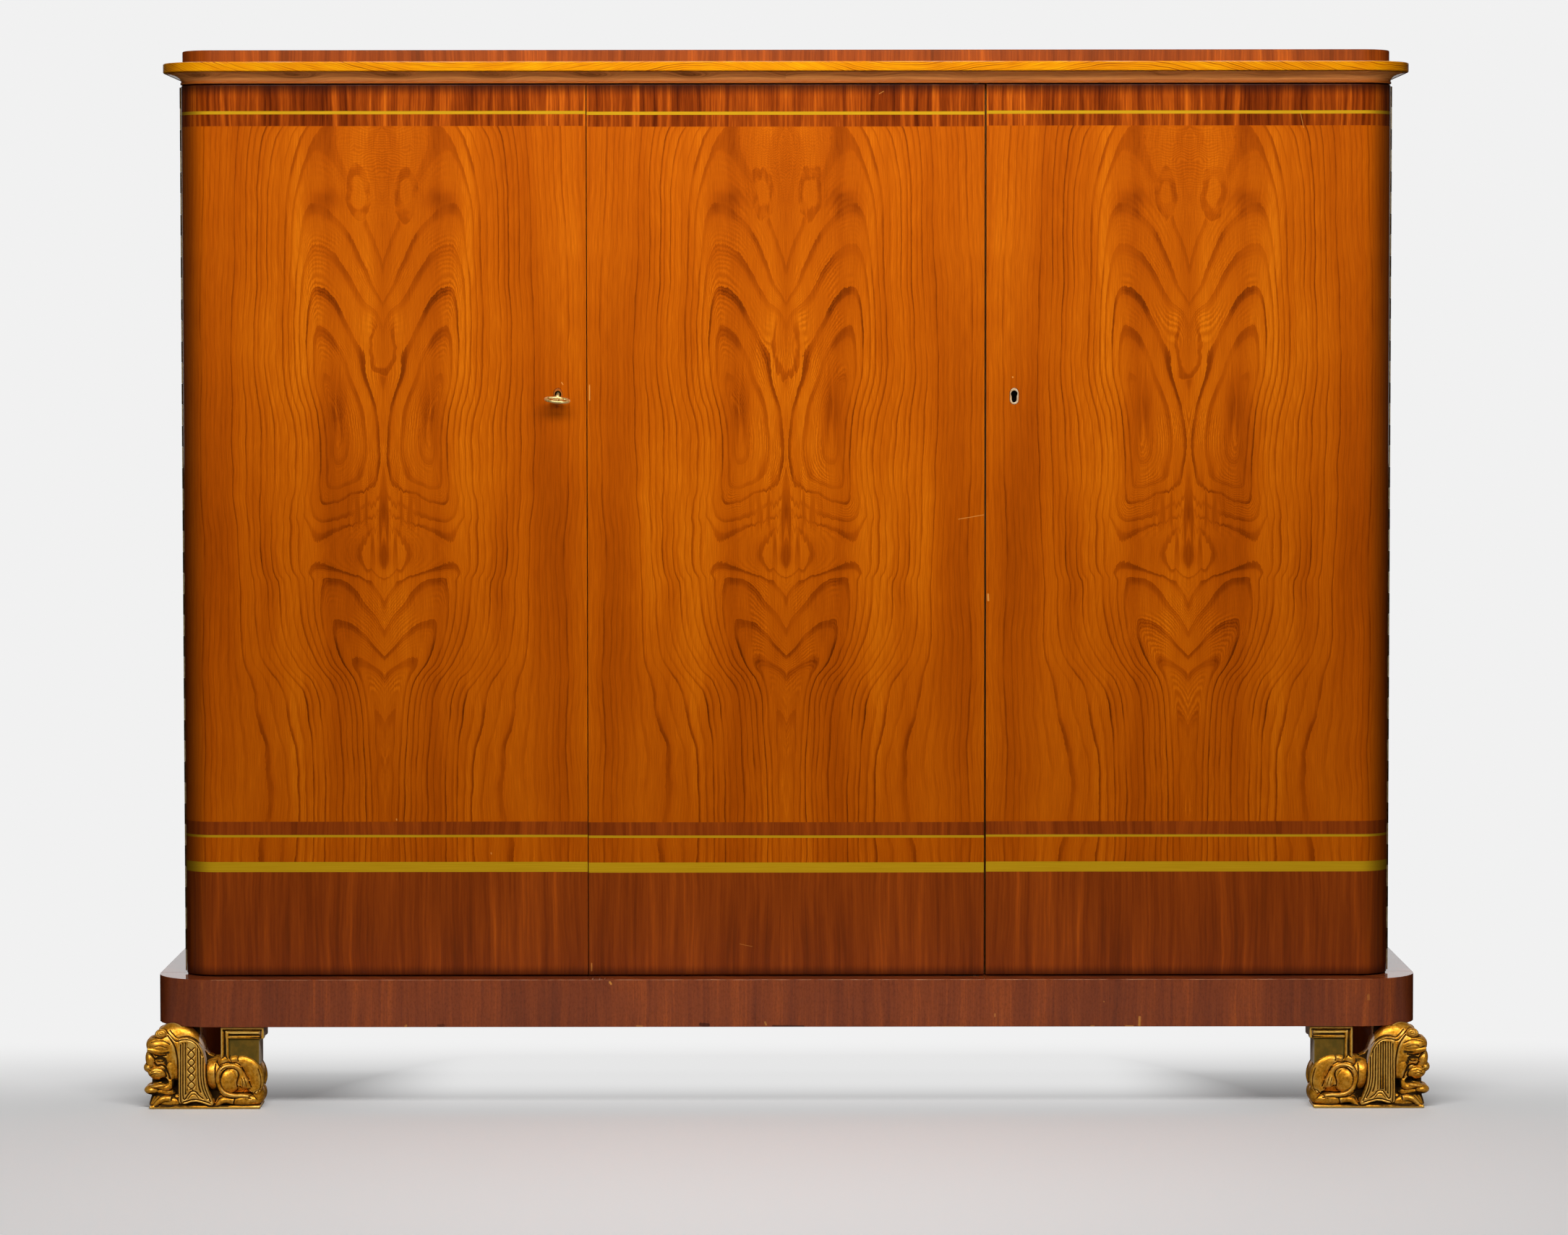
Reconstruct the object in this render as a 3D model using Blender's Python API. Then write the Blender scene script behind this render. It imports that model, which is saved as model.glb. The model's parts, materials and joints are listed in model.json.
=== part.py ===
"""Three-door cabinet on a plinth with carved lion feet.

Metres, +Z up. The doors face -Y, +X is to the right of someone looking at them,
and the origin is on the floor under the middle of the whole cabinet.
"""
import math

import bmesh
import bpy
from mathutils import Matrix, Vector

for old in list(bpy.data.objects):
    bpy.data.objects.remove(old, do_unlink=True)

# Driving dimensions of the case
FIT = 0.0003                    # gap left between two pieces that touch
CASE_WIDTH = 1.680
CASE_DEPTH = 0.420              # door fronts to the backs of the sides
CORNER_RADIUS = 0.045           # rounded front corners of the case, in plan
MIDDLE_BAY = 0.552              # between the centre planes of the partitions
DOOR_HEIGHT = 1.235
DOOR_REVEAL = 0.002             # above and below the doors
DOOR_THICKNESS = 0.024
DOOR_RETURN = 0.048             # how far the side doors wrap round the corner
LEFT_SEAM = 0.0012
RIGHT_SEAM = 0.0025             # wider, because the middle door turns beside it
SIDE_THICKNESS = 0.024
BOARD_THICKNESS = 0.022
PARTITION_THICKNESS = 0.022
BACK_THICKNESS = 0.008
SHELF_THICKNESS = 0.020
SHELVES_PER_BAY = 3
SHELF_SETBACK = 0.002           # shelf fronts behind the front edges of the sides
GROOVE_DEPTH = 0.006            # housing of a shelf end

# Driving dimensions of the plinth and the feet
PLINTH_OVERHANG = 0.038
PLINTH_HEIGHT = 0.066
PLINTH_RAIL = 0.070             # width of the side rails
PLINTH_BACK_RAIL = 0.030
PLINTH_PANEL = 0.022
FOOT_HEIGHT = 0.115
REAR_LEG_WIDTH = 0.095
REAR_LEG_DEPTH = 0.070
REAR_LEG_INSET = 0.008
LION_REACH = 0.020              # how far the faces stand out past the plinth
LION_SETBACK = 0.001            # carving behind the front of the plinth
LION_LENGTH = 0.172
LION_DEPTH = 0.064

# Driving dimensions of the cornice
COVE_HEIGHT = 0.0155
COVE_LIP = 0.0025
COVE_LIP_PROUD = 0.001
COVE_OVERHANG = 0.0185
SLAB_HEIGHT = 0.0135
SLAB_OVERHANG = 0.025
SLAB_EASE = 0.0012
TIER_HEIGHT = 0.017
TIER_INSET = 0.002

# Driving dimensions of the brass
LEAF_THICKNESS = 0.001
LEAF_GAP = 0.0004               # between the two closed leaves of a piano hinge
LEAF_WIDTH = 0.020
BARREL_RADIUS = 0.0024
BARREL_BORE = 0.0015
BARREL_PROUD = 0.0006           # hinge axis outside the face of the side
BARREL_CLEARANCE = 0.0004       # wood and leaf edges kept off the barrel
HINGE_PIN_RADIUS = 0.00125
KNUCKLES = 42
KNUCKLE_GAP = 0.0004
HINGE_INSET = 0.001             # hinge ends short of the door ends
PIVOT_EDGE = 0.012              # middle door's pivot from its hinge edge
PIVOT_FRONT = 0.007             # middle door's pivot behind its front
PIVOT_PIN_RADIUS = 0.003
PIVOT_PIN_LENGTH = 0.010
PIVOT_CLEARANCE = 0.0002
PIVOT_PLATE = (0.040, 0.011, 0.003)
PIVOT_WASHER_RADIUS = 0.0048
BACK_EDGE_ROUND = 0.006         # eased back edge beside the middle door's pivots
BOLT_RADIUS = 0.004
BOLT_LENGTH = 0.130
BOLT_TRAVEL = 0.012
BOLT_PLATE = (0.002, 0.014, 0.140)
BOLT_BEHIND_FRONT = 0.012
BOLT_KNOB = (0.006, 0.010)
BOLT_SLOT = (0.0075, 0.030)
BOLT_HOLE_CLEARANCE = 0.0006
KEYHOLE_OFFSET = 0.040          # keyhole from the middle of the seam
KEYHOLE_HEIGHT = 0.808          # keyhole above the bottom of the doors
KEYHOLE_ROUND = 0.00475
KEYHOLE_SLOT = 0.0035
KEYHOLE_DROP = 0.0118
INSERT_SIDE = 0.006             # half width of the brass round the keyhole
INSERT_TOP = 0.0081
INSERT_BOTTOM = 0.0145
INSERT_DEPTH = 0.006
INSERT_PROUD = 0.0004
LOCK_SIZE = (0.045, 0.014, 0.056)
LOCK_WALL = 0.0015
LOCK_ABOVE_KEY = 0.033
LOCK_TO_PARTITION = 0.0015
LOCK_BOLT = (0.036, 0.0055, 0.010)
LOCK_BOLT_ABOVE_KEY = 0.022
LOCK_BOLT_CLEARANCE = 0.0004
LOCK_THROW = 0.008
STRIKE_SIZE = (0.0015, 0.013, 0.044)
KEY_SHANK_RADIUS = 0.0022
KEY_DROOP = math.radians(15)
KEY_BELOW = 0.0011              # shank below the keyhole centre at the door front
KEY_OUT = 0.026                 # door front to the middle of the bow, along the shank
KEY_IN = 0.0355                 # door front to the tip, along the shank
KEY_BOW = (0.0175, 0.0125, 0.0035)
KEY_BOW_RIM = 0.0048
KEY_BIT = (0.0085, 0.0045, 0.0024)

# Values worked out from the driving dimensions
HALF = CASE_WIDTH / 2
FRONT = -(CASE_DEPTH - PLINTH_OVERHANG) / 2
BACK = FRONT + CASE_DEPTH
CASE_GAP = 2 * LEAF_THICKNESS + LEAF_GAP + 2 * FIT
CASE_FRONT = FRONT + DOOR_THICKNESS + CASE_GAP
BASE_TOP = FOOT_HEIGHT + PLINTH_HEIGHT
DOOR_LOW = BASE_TOP + DOOR_REVEAL
DOOR_TOP = DOOR_LOW + DOOR_HEIGHT
CASE_TOP = DOOR_TOP + DOOR_REVEAL
INNER_HALF = HALF - SIDE_THICKNESS
PARTITION_X = MIDDLE_BAY / 2
FLOOR_TOP = BASE_TOP + BOARD_THICKNESS
CEILING = CASE_TOP - BOARD_THICKNESS
BACK_PANEL_FRONT = BACK - BACK_THICKNESS - FIT
BOARD_BACK = BACK_PANEL_FRONT - FIT
SHELF_FRONT = FRONT + DOOR_RETURN + CASE_GAP + SHELF_SETBACK
HINGE_X = HALF + BARREL_PROUD
HINGE_Y = FRONT + DOOR_RETURN + CASE_GAP / 2
PLINTH_HALF = HALF + PLINTH_OVERHANG
PLINTH_FRONT = FRONT - PLINTH_OVERHANG
PLINTH_RADIUS = CORNER_RADIUS + PLINTH_OVERHANG
PLINTH_JOINT = PLINTH_FRONT + PLINTH_RADIUS + PLINTH_RAIL / 10
PIVOT_X = PARTITION_X - RIGHT_SEAM / 2 - PIVOT_EDGE
PIVOT_Y = FRONT + PIVOT_FRONT
MIDDLE_LEFT = -PARTITION_X + LEFT_SEAM / 2
BOLT_X = MIDDLE_LEFT + BOLT_PLATE[0] + FIT + BOLT_RADIUS
BOLT_Y = FRONT + BOLT_BEHIND_FRONT
KEY_X = PARTITION_X + KEYHOLE_OFFSET
KEY_Z = DOOR_LOW + KEYHOLE_HEIGHT
LOCK_EDGE = PARTITION_X + PARTITION_THICKNESS / 2 + LOCK_TO_PARTITION
LOCK_FRONT = FRONT + DOOR_THICKNESS + FIT
LOCK_BOLT_Y = LOCK_FRONT + LOCK_SIZE[1] - LOCK_WALL - LOCK_BOLT_CLEARANCE - LOCK_BOLT[1] / 2
LOCK_BOLT_Z = KEY_Z + LOCK_BOLT_ABOVE_KEY

ARC_STEPS = 8
ROUND_SIDES = 12


def paint(name, colour, roughness, metallic=0.0):
    """A plain finish with the colour of the real one"""
    material = bpy.data.materials.new(name)
    material.use_nodes = True
    shader = material.node_tree.nodes["Principled BSDF"]
    shader.inputs["Base Color"].default_value = (*colour, 1.0)
    shader.inputs["Roughness"].default_value = roughness
    shader.inputs["Metallic"].default_value = metallic
    return material


MAHOGANY = paint("mahogany", (0.19, 0.045, 0.018), 0.28)
ELM = paint("figured_elm", (0.56, 0.17, 0.02), 0.25)
ASH = paint("olive_ash", (0.80, 0.38, 0.05), 0.3)
OAK = paint("oak_carcass", (0.42, 0.25, 0.12), 0.55)
GILT = paint("antique_gilt", (0.62, 0.33, 0.05), 0.35, 0.85)
BRASS = paint("brass", (0.62, 0.45, 0.19), 0.35, 1.0)
STEEL = paint("dark_steel", (0.18, 0.16, 0.14), 0.45, 1.0)


def link(name, mesh_data, material):
    """Turns mesh data into a named object with its faces pointing out"""
    bmesh.ops.recalc_face_normals(mesh_data, faces=mesh_data.faces)
    mesh = bpy.data.meshes.new(name)
    mesh_data.to_mesh(mesh)
    mesh_data.free()
    mesh.materials.append(material)
    piece = bpy.data.objects.new(name, mesh)
    bpy.context.scene.collection.objects.link(piece)
    return piece


def add_box(shape, low, high):
    """Adds one box to the mesh data"""
    size = [high[i] - low[i] for i in range(3)]
    middle = [(high[i] + low[i]) / 2 for i in range(3)]
    matrix = Matrix.Translation(middle) @ Matrix.Diagonal((*size, 1.0))
    bmesh.ops.create_cube(shape, size=1.0, matrix=matrix)


def boxes(name, material, spans):
    """An object of separate boxes, each given by its low and high corner"""
    shape = bmesh.new()
    for low, high in spans:
        add_box(shape, low, high)
    return link(name, shape, material)


def prism(name, material, outline, low, high, along="Z"):
    """A flat outline pushed out along an axis. Along Y the outline is (x, z)"""
    shape = bmesh.new()
    ends = []
    for level in (low, high):
        places = [(a, b, level) if along == "Z" else (a, level, b) for a, b in outline]
        ends.append([shape.verts.new(place) for place in places])
    count = len(outline)
    shape.faces.new(ends[0])
    shape.faces.new(ends[1])
    for i in range(count):
        j = (i + 1) % count
        shape.faces.new((ends[0][i], ends[0][j], ends[1][j], ends[1][i]))
    return link(name, shape, material)


def stacked(name, material, rings):
    """Closed solid through rings of points that all have the same count"""
    shape = bmesh.new()
    loops = [[shape.verts.new(place) for place in ring] for ring in rings]
    count = len(rings[0])
    for lower, upper in zip(loops, loops[1:]):
        for i in range(count):
            j = (i + 1) % count
            shape.faces.new((lower[i], lower[j], upper[j], upper[i]))
    shape.faces.new(loops[0])
    shape.faces.new(loops[-1])
    return link(name, shape, material)


def arc(centre_x, centre_y, radius, start, end, steps=ARC_STEPS):
    """Points of an arc, both ends included, with angles in degrees"""
    points = []
    for i in range(steps + 1):
        angle = math.radians(start + (end - start) * i / steps)
        points.append((centre_x + radius * math.cos(angle), centre_y + radius * math.sin(angle)))
    return points


def mirrored(outline, side):
    """The outline as drawn for the left side, or turned over for the right"""
    return outline if side < 0 else [(-x, y) for x, y in outline]


def add_rod(shape, start, end, radius, sides=ROUND_SIDES):
    """Adds one round bar between two points"""
    start, end = Vector(start), Vector(end)
    turn = (end - start).to_track_quat("Z", "Y").to_matrix().to_4x4()
    matrix = Matrix.Translation((start + end) / 2) @ turn
    bmesh.ops.create_cone(shape, cap_ends=True, segments=sides, radius1=radius, radius2=radius,
                          depth=(end - start).length, matrix=matrix)


def rod(name, material, start, end, radius, sides=ROUND_SIDES):
    """One round bar between two points"""
    shape = bmesh.new()
    add_rod(shape, start, end, radius, sides)
    return link(name, shape, material)


def cut(target, tool):
    """Takes the tool's shape out of the target"""
    tool.hide_render = True
    tool.display_type = "WIRE"
    step = target.modifiers.new(tool.name, "BOOLEAN")
    step.operation = "DIFFERENCE"
    step.solver = "EXACT"
    step.object = tool
    return tool


def fuse(target, tool):
    """Joins the tool's shape to the target"""
    cut(target, tool)
    target.modifiers[-1].operation = "UNION"
    return tool


def axis_empty(name, place, parent=None):
    """An empty on a joint's axis, which carries what moves on that joint"""
    empty = bpy.data.objects.new(name, None)
    bpy.context.scene.collection.objects.link(empty)
    empty.empty_display_size = 0.05
    carry(empty, parent, Vector(place))
    return empty


def world_place(item):
    """Where an empty stands in the world"""
    place = item.location.copy()
    while item.parent:
        item = item.parent
        place += item.location
    return place


def carry(item, parent, place):
    """Parents an item and leaves it standing at a world place"""
    item.parent = parent
    item.location = place - world_place(parent) if parent else place


def hang(pieces, empty):
    """Moves the pieces' origins, and their cutters' origins, to an empty"""
    place = world_place(empty)
    for piece in pieces:
        tools = [step.object for step in piece.modifiers if step.type == "BOOLEAN"]
        for item in [piece] + tools:
            item.data.transform(Matrix.Translation(-place))
            carry(item, empty, place)


def wrapped_front(half_width, front, back, radius):
    """Plan outline of a board with two rounded front corners"""
    left = arc(-half_width + radius, front + radius, radius, 180, 270)
    right = arc(half_width - radius, front + radius, radius, 270, 360)
    return left + right + [(half_width, back), (-half_width, back)]


def shelf_levels():
    """Undersides of the shelves, evenly spaced between floor and ceiling boards"""
    free = CEILING - FLOOR_TOP - SHELVES_PER_BAY * SHELF_THICKNESS
    step = free / (SHELVES_PER_BAY + 1) + SHELF_THICKNESS
    return [FLOOR_TOP + step * (i + 1) - SHELF_THICKNESS for i in range(SHELVES_PER_BAY)]


def make_plinth():
    """Front rail with rounded corners, side rails, back rail and top panel"""
    radius = PLINTH_RADIUS
    front = prism("plinth_front_rail", MAHOGANY,
                  wrapped_front(PLINTH_HALF, PLINTH_FRONT, PLINTH_JOINT - FIT, radius),
                  FOOT_HEIGHT, BASE_TOP)
    inner = PLINTH_HALF - PLINTH_RAIL
    for side, word in ((-1, "left"), (1, "right")):
        edges = sorted((side * inner, side * PLINTH_HALF))
        boxes(f"plinth_side_rail_{word}", MAHOGANY,
              [((edges[0], PLINTH_JOINT, FOOT_HEIGHT), (edges[1], BACK, BASE_TOP))])
    back_rail_front = BACK - PLINTH_BACK_RAIL
    boxes("plinth_back_rail", OAK,
          [((-inner + FIT, back_rail_front, FOOT_HEIGHT), (inner - FIT, BACK, BASE_TOP))])
    boxes("plinth_panel", OAK,
          [((-inner + FIT, PLINTH_JOINT, BASE_TOP - PLINTH_PANEL),
            (inner - FIT, back_rail_front - FIT, BASE_TOP))])
    return front


def make_case():
    """Floor and ceiling boards, sides, partitions, backs and shelves"""
    curve = CORNER_RADIUS - DOOR_THICKNESS - CASE_GAP
    tongue = INNER_HALF - CASE_GAP
    step_y = FRONT + DOOR_RETURN + CASE_GAP
    left = [(-INNER_HALF + FIT, step_y), (-tongue, step_y)]
    left += arc(-tongue + curve, CASE_FRONT + curve, curve, 180, 270)
    right = [(-x, y) for x, y in reversed(left)]
    plan = left + right + [(INNER_HALF - FIT, BOARD_BACK), (-INNER_HALF + FIT, BOARD_BACK)]
    prism("floor_board", OAK, plan, BASE_TOP + FIT, FLOOR_TOP)
    prism("ceiling_board", OAK, plan, CEILING, CASE_TOP - FIT)

    levels = shelf_levels()
    grooves = [(level - FIT, level + SHELF_THICKNESS + FIT) for level in levels]
    groove_front = SHELF_FRONT - FIT
    past = GROOVE_DEPTH / 2

    for side, word in ((-1, "left"), (1, "right")):
        edges = sorted((side * INNER_HALF, side * HALF))
        panel = boxes(f"side_{word}", ELM,
                      [((edges[0], step_y, BASE_TOP + FIT), (edges[1], BACK, CASE_TOP - FIT))])
        corner = 2 * BARREL_CLEARANCE + BARREL_RADIUS
        bevel_points = [(side * (HALF + past), step_y - past), (side * (HALF + past), step_y + corner),
                        (side * HALF, step_y + corner - CASE_GAP / 2),
                        (side * (HALF - corner + BARREL_PROUD), step_y),
                        (side * (HALF - corner + BARREL_PROUD), step_y - past)]
        cut(panel, prism(f"side_{word}_hinge_bevel", OAK, bevel_points, BASE_TOP - past,
                         CASE_TOP + past))
        reach = sorted((side * (INNER_HALF - past), side * (INNER_HALF + GROOVE_DEPTH)))
        cut(panel, boxes(f"side_{word}_grooves", OAK,
                         [((reach[0], groove_front, low), (reach[1], BACK_PANEL_FRONT, high))
                          for low, high in grooves]))

        centre = side * PARTITION_X
        half = PARTITION_THICKNESS / 2
        wall = boxes(f"partition_{word}", OAK,
                     [((centre - half, CASE_FRONT, FLOOR_TOP + FIT),
                       (centre + half, BOARD_BACK, CEILING - FIT))])
        spans = []
        for face in (-1, 1):
            reach = sorted((centre + face * (half - GROOVE_DEPTH), centre + face * (half + past)))
            spans += [((reach[0], groove_front, low), (reach[1], BACK_PANEL_FRONT, high))
                      for low, high in grooves]
        cut(wall, boxes(f"partition_{word}_grooves", OAK, spans))
        make_strike(side, word, wall)

    inner_face = PARTITION_X - PARTITION_THICKNESS / 2
    outer_face = PARTITION_X + PARTITION_THICKNESS / 2
    bays = (("left", -INNER_HALF, -outer_face, -INNER_HALF, -PARTITION_X),
            ("middle", -inner_face, inner_face, -PARTITION_X, PARTITION_X),
            ("right", outer_face, INNER_HALF, PARTITION_X, INNER_HALF))
    housed = GROOVE_DEPTH - FIT
    for word, low_x, high_x, back_low, back_high in bays:
        boxes(f"back_panel_{word}", OAK,
              [((back_low + FIT, BACK_PANEL_FRONT, BASE_TOP + 2 * FIT),
                (back_high - FIT, BACK - FIT, CASE_TOP - 2 * FIT))])
        for number, level in enumerate(levels, 1):
            boxes(f"shelf_{word}_{number}", OAK,
                  [((low_x - housed, SHELF_FRONT, level),
                    (high_x + housed, BOARD_BACK, level + SHELF_THICKNESS))])


def make_strike(side, word, wall):
    """Brass plate let into the partition, with the hole that the lock bolt enters"""
    face = side * (PARTITION_X + PARTITION_THICKNESS / 2)
    thick, deep, tall = STRIKE_SIZE
    bolt_half_y = LOCK_BOLT[1] / 2 + LOCK_BOLT_CLEARANCE
    bolt_half_z = LOCK_BOLT[2] / 2 + LOCK_BOLT_CLEARANCE
    past = thick

    def span(inward, outward, half_y, half_z):
        reach = sorted((face - side * inward, face + side * outward))
        return ((reach[0], LOCK_BOLT_Y - half_y, LOCK_BOLT_Z - half_z),
                (reach[1], LOCK_BOLT_Y + half_y, LOCK_BOLT_Z + half_z))

    plate = boxes(f"lock_strike_{word}", BRASS, [span(thick, 0.0, deep / 2, tall / 2)])
    cut(plate, boxes(f"lock_strike_{word}_hole", OAK,
                     [span(thick + past, past, bolt_half_y, bolt_half_z)]))
    cut(wall, boxes(f"lock_strike_{word}_recess", OAK,
                    [span(thick + FIT, past, deep / 2 + FIT, tall / 2 + FIT)]))
    pocket = LOCK_THROW - LOCK_TO_PARTITION + LOCK_BOLT_CLEARANCE
    cut(wall, boxes(f"lock_strike_{word}_pocket", OAK,
                    [span(pocket, past, bolt_half_y, bolt_half_z)]))


def make_cornice():
    """Board with the cove worked on its edges, figured slab and top tier"""
    slab_low = CASE_TOP + COVE_HEIGHT
    tier_low = slab_low + SLAB_HEIGHT

    def ring(level, proud):
        plan = wrapped_front(HALF + proud, FRONT - proud, BACK, CORNER_RADIUS + proud)
        return [(x, y, level) for x, y in plan]

    lip_top = CASE_TOP + COVE_LIP
    hollow_low = lip_top + COVE_LIP_PROUD / 2
    fillet = slab_low - COVE_LIP / 2
    rings = [ring(CASE_TOP, COVE_LIP_PROUD), ring(lip_top, COVE_LIP_PROUD), ring(hollow_low, 0.0)]
    steps = 6
    for i in range(1, steps + 1):
        turn = math.pi / 2 * i / steps
        rings.append(ring(hollow_low + (fillet - hollow_low) * math.sin(turn),
                          COVE_OVERHANG * (1 - math.cos(turn))))
    rings.append(ring(slab_low - FIT, COVE_OVERHANG))
    cove = stacked("cove_board", MAHOGANY, rings)

    ease = SLAB_EASE
    stacked("cornice_slab", ASH, [ring(slab_low, SLAB_OVERHANG - ease),
                                  ring(slab_low + ease, SLAB_OVERHANG),
                                  ring(tier_low - FIT - ease, SLAB_OVERHANG),
                                  ring(tier_low - FIT, SLAB_OVERHANG - ease)])
    stacked("top_tier", MAHOGANY, [ring(tier_low, -TIER_INSET),
                                   ring(tier_low + TIER_HEIGHT - ease, -TIER_INSET),
                                   ring(tier_low + TIER_HEIGHT, -TIER_INSET - ease)])
    return cove


def side_door_outline(side):
    """Plan of a side door: flat front, rounded corner, return to the hinge"""
    seam = LEFT_SEAM if side < 0 else RIGHT_SEAM
    free_edge = -PARTITION_X - seam / 2
    back_y = FRONT + DOOR_THICKNESS
    end_y = FRONT + DOOR_RETURN
    centre = (-HALF + CORNER_RADIUS, FRONT + CORNER_RADIUS)
    clear = BARREL_RADIUS + 2 * BARREL_CLEARANCE
    outline = [(-HALF + clear - BARREL_PROUD, end_y), (-HALF, HINGE_Y - clear)]
    outline += arc(*centre, CORNER_RADIUS, 180, 270)
    outline += [(free_edge, FRONT), (free_edge, back_y)]
    outline += arc(*centre, CORNER_RADIUS - DOOR_THICKNESS, 270, 180)
    outline.append((-HALF + DOOR_THICKNESS, end_y))
    return mirrored(outline, side)


def keyhole_outline(x, z, half_top, half_slot, top, bottom):
    """Round-headed opening with a slot below, seen from the front"""
    meet = math.degrees(math.asin(min(half_slot / half_top, 1.0)))
    start, end = -90 + meet, 270 - meet
    steps = 10
    head = []
    for i in range(steps + 1):
        angle = math.radians(start + (end - start) * i / steps)
        lift = top / half_top if math.sin(angle) > 0 else 1.0
        head.append((x + half_top * math.cos(angle), z + half_top * lift * math.sin(angle)))
    foot = arc(x, z - bottom + half_slot, half_slot, 180, 360, 6)
    return head + foot


def make_side_door(side, word):
    """A side door with its keyhole insert, lock case and lock bolt"""
    door = prism(f"{word}_door", ELM, side_door_outline(side), DOOR_LOW, DOOR_TOP)
    x = side * KEY_X
    rim = FIT
    bore = keyhole_outline(x, KEY_Z, INSERT_SIDE + rim, INSERT_SIDE + rim,
                           INSERT_TOP + rim, INSERT_BOTTOM + rim)
    past = DOOR_THICKNESS / 4
    cut(door, prism(f"{word}_door_keyhole_bore", OAK, bore, FRONT - past,
                    FRONT + DOOR_THICKNESS + past, "Y"))
    insert_outline = keyhole_outline(x, KEY_Z, INSERT_SIDE, INSERT_SIDE, INSERT_TOP, INSERT_BOTTOM)
    insert = prism(f"{word}_keyhole_insert", BRASS, insert_outline,
                   FRONT - INSERT_PROUD, FRONT + INSERT_DEPTH, "Y")
    opening = keyhole_outline(x, KEY_Z, KEYHOLE_ROUND, KEYHOLE_SLOT, KEYHOLE_ROUND, KEYHOLE_DROP)
    cut(insert, prism(f"{word}_keyhole_opening", OAK, opening, FRONT - past,
                      FRONT + INSERT_DEPTH + past, "Y"))

    width, deep, tall = LOCK_SIZE
    near, far = side * LOCK_EDGE, side * (LOCK_EDGE + width)
    edges = sorted((near, far))
    top = KEY_Z + LOCK_ABOVE_KEY
    lock = boxes(f"{word}_lock_case", BRASS,
                 [((edges[0], LOCK_FRONT, top - tall), (edges[1], LOCK_FRONT + deep, top))])
    inner = sorted((near + side * LOCK_WALL, far - side * LOCK_WALL))
    cut(lock, boxes(f"{word}_lock_hollow", OAK,
                    [((inner[0], LOCK_FRONT + LOCK_WALL, top - tall + LOCK_WALL),
                      (inner[1], LOCK_FRONT + deep - LOCK_WALL, top - LOCK_WALL))]))
    cut(lock, prism(f"{word}_lock_key_hole", OAK, bore, LOCK_FRONT - LOCK_WALL,
                    LOCK_FRONT + 2 * LOCK_WALL, "Y"))
    half_y = LOCK_BOLT[1] / 2
    half_z = LOCK_BOLT[2] / 2
    play = LOCK_BOLT_CLEARANCE / 2
    mouth = sorted((near - side * LOCK_WALL, near + side * 2 * LOCK_WALL))
    cut(lock, boxes(f"{word}_lock_bolt_mouth", OAK,
                    [((mouth[0], LOCK_BOLT_Y - half_y - play, LOCK_BOLT_Z - half_z - play),
                      (mouth[1], LOCK_BOLT_Y + half_y + play, LOCK_BOLT_Z + half_z + play))]))
    reach = sorted((near, near + side * LOCK_BOLT[0]))
    bolt = boxes(f"{word}_lock_bolt", STEEL,
                 [((reach[0], LOCK_BOLT_Y - half_y, LOCK_BOLT_Z - half_z),
                   (reach[1], LOCK_BOLT_Y + half_y, LOCK_BOLT_Z + half_z))])
    axis = axis_empty(f"{word}_door_axis", (side * HINGE_X, HINGE_Y, DOOR_LOW))
    return axis, [door, insert, lock], bolt


def make_key(door_axis):
    """Key with a pierced oval bow, hanging a little low in its worn keyhole"""
    out = Vector((0, -math.cos(KEY_DROOP), -math.sin(KEY_DROOP)))
    across = Vector((1, 0, 0))
    start = Vector((-KEY_X, FRONT, KEY_Z - KEY_BELOW))
    frame = Matrix((across, out, across.cross(out))).transposed().to_4x4()
    bow_half, bow_long, bow_thick = KEY_BOW
    shape = bmesh.new()
    add_rod(shape, start - out * KEY_IN, start + out * (KEY_OUT - bow_long + KEY_BOW_RIM / 2),
            KEY_SHANK_RADIUS)
    key = link("key", shape, BRASS)

    def oval(name, half, long):
        middle = Matrix.Translation(start + out * KEY_OUT)
        ring = bmesh.new()
        bmesh.ops.create_cone(ring, cap_ends=True, segments=20, radius1=1.0, radius2=1.0,
                              depth=1.0)
        bmesh.ops.transform(ring, matrix=middle @ frame @ Matrix.Diagonal((*half, long, 1.0)),
                            verts=ring.verts)
        return link(name, ring, BRASS)

    fuse(key, oval("key_bow", (bow_half, bow_long), bow_thick))
    for word, place in (("left", -1), ("right", 1)):
        hole = oval(f"key_bow_hole_{word}", (bow_half / 2 - KEY_BOW_RIM * 0.75,
                                             bow_long - KEY_BOW_RIM), 3 * bow_thick)
        shift = across * place * bow_half * 0.46
        hole.data.transform(Matrix.Translation(shift))
        cut(key, hole)
    high, long, thick = KEY_BIT
    bit = bmesh.new()
    add_box(bit, (-high, 0, -thick / 2), (0, long, thick / 2))
    tip = Matrix.Translation(start - out * (KEY_IN - KEY_SHANK_RADIUS / 2))
    bmesh.ops.transform(bit, matrix=tip @ frame, verts=bit.verts)
    fuse(key, link("key_bit", bit, BRASS))
    hang([key], axis_empty("key_axis", start, door_axis))


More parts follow.
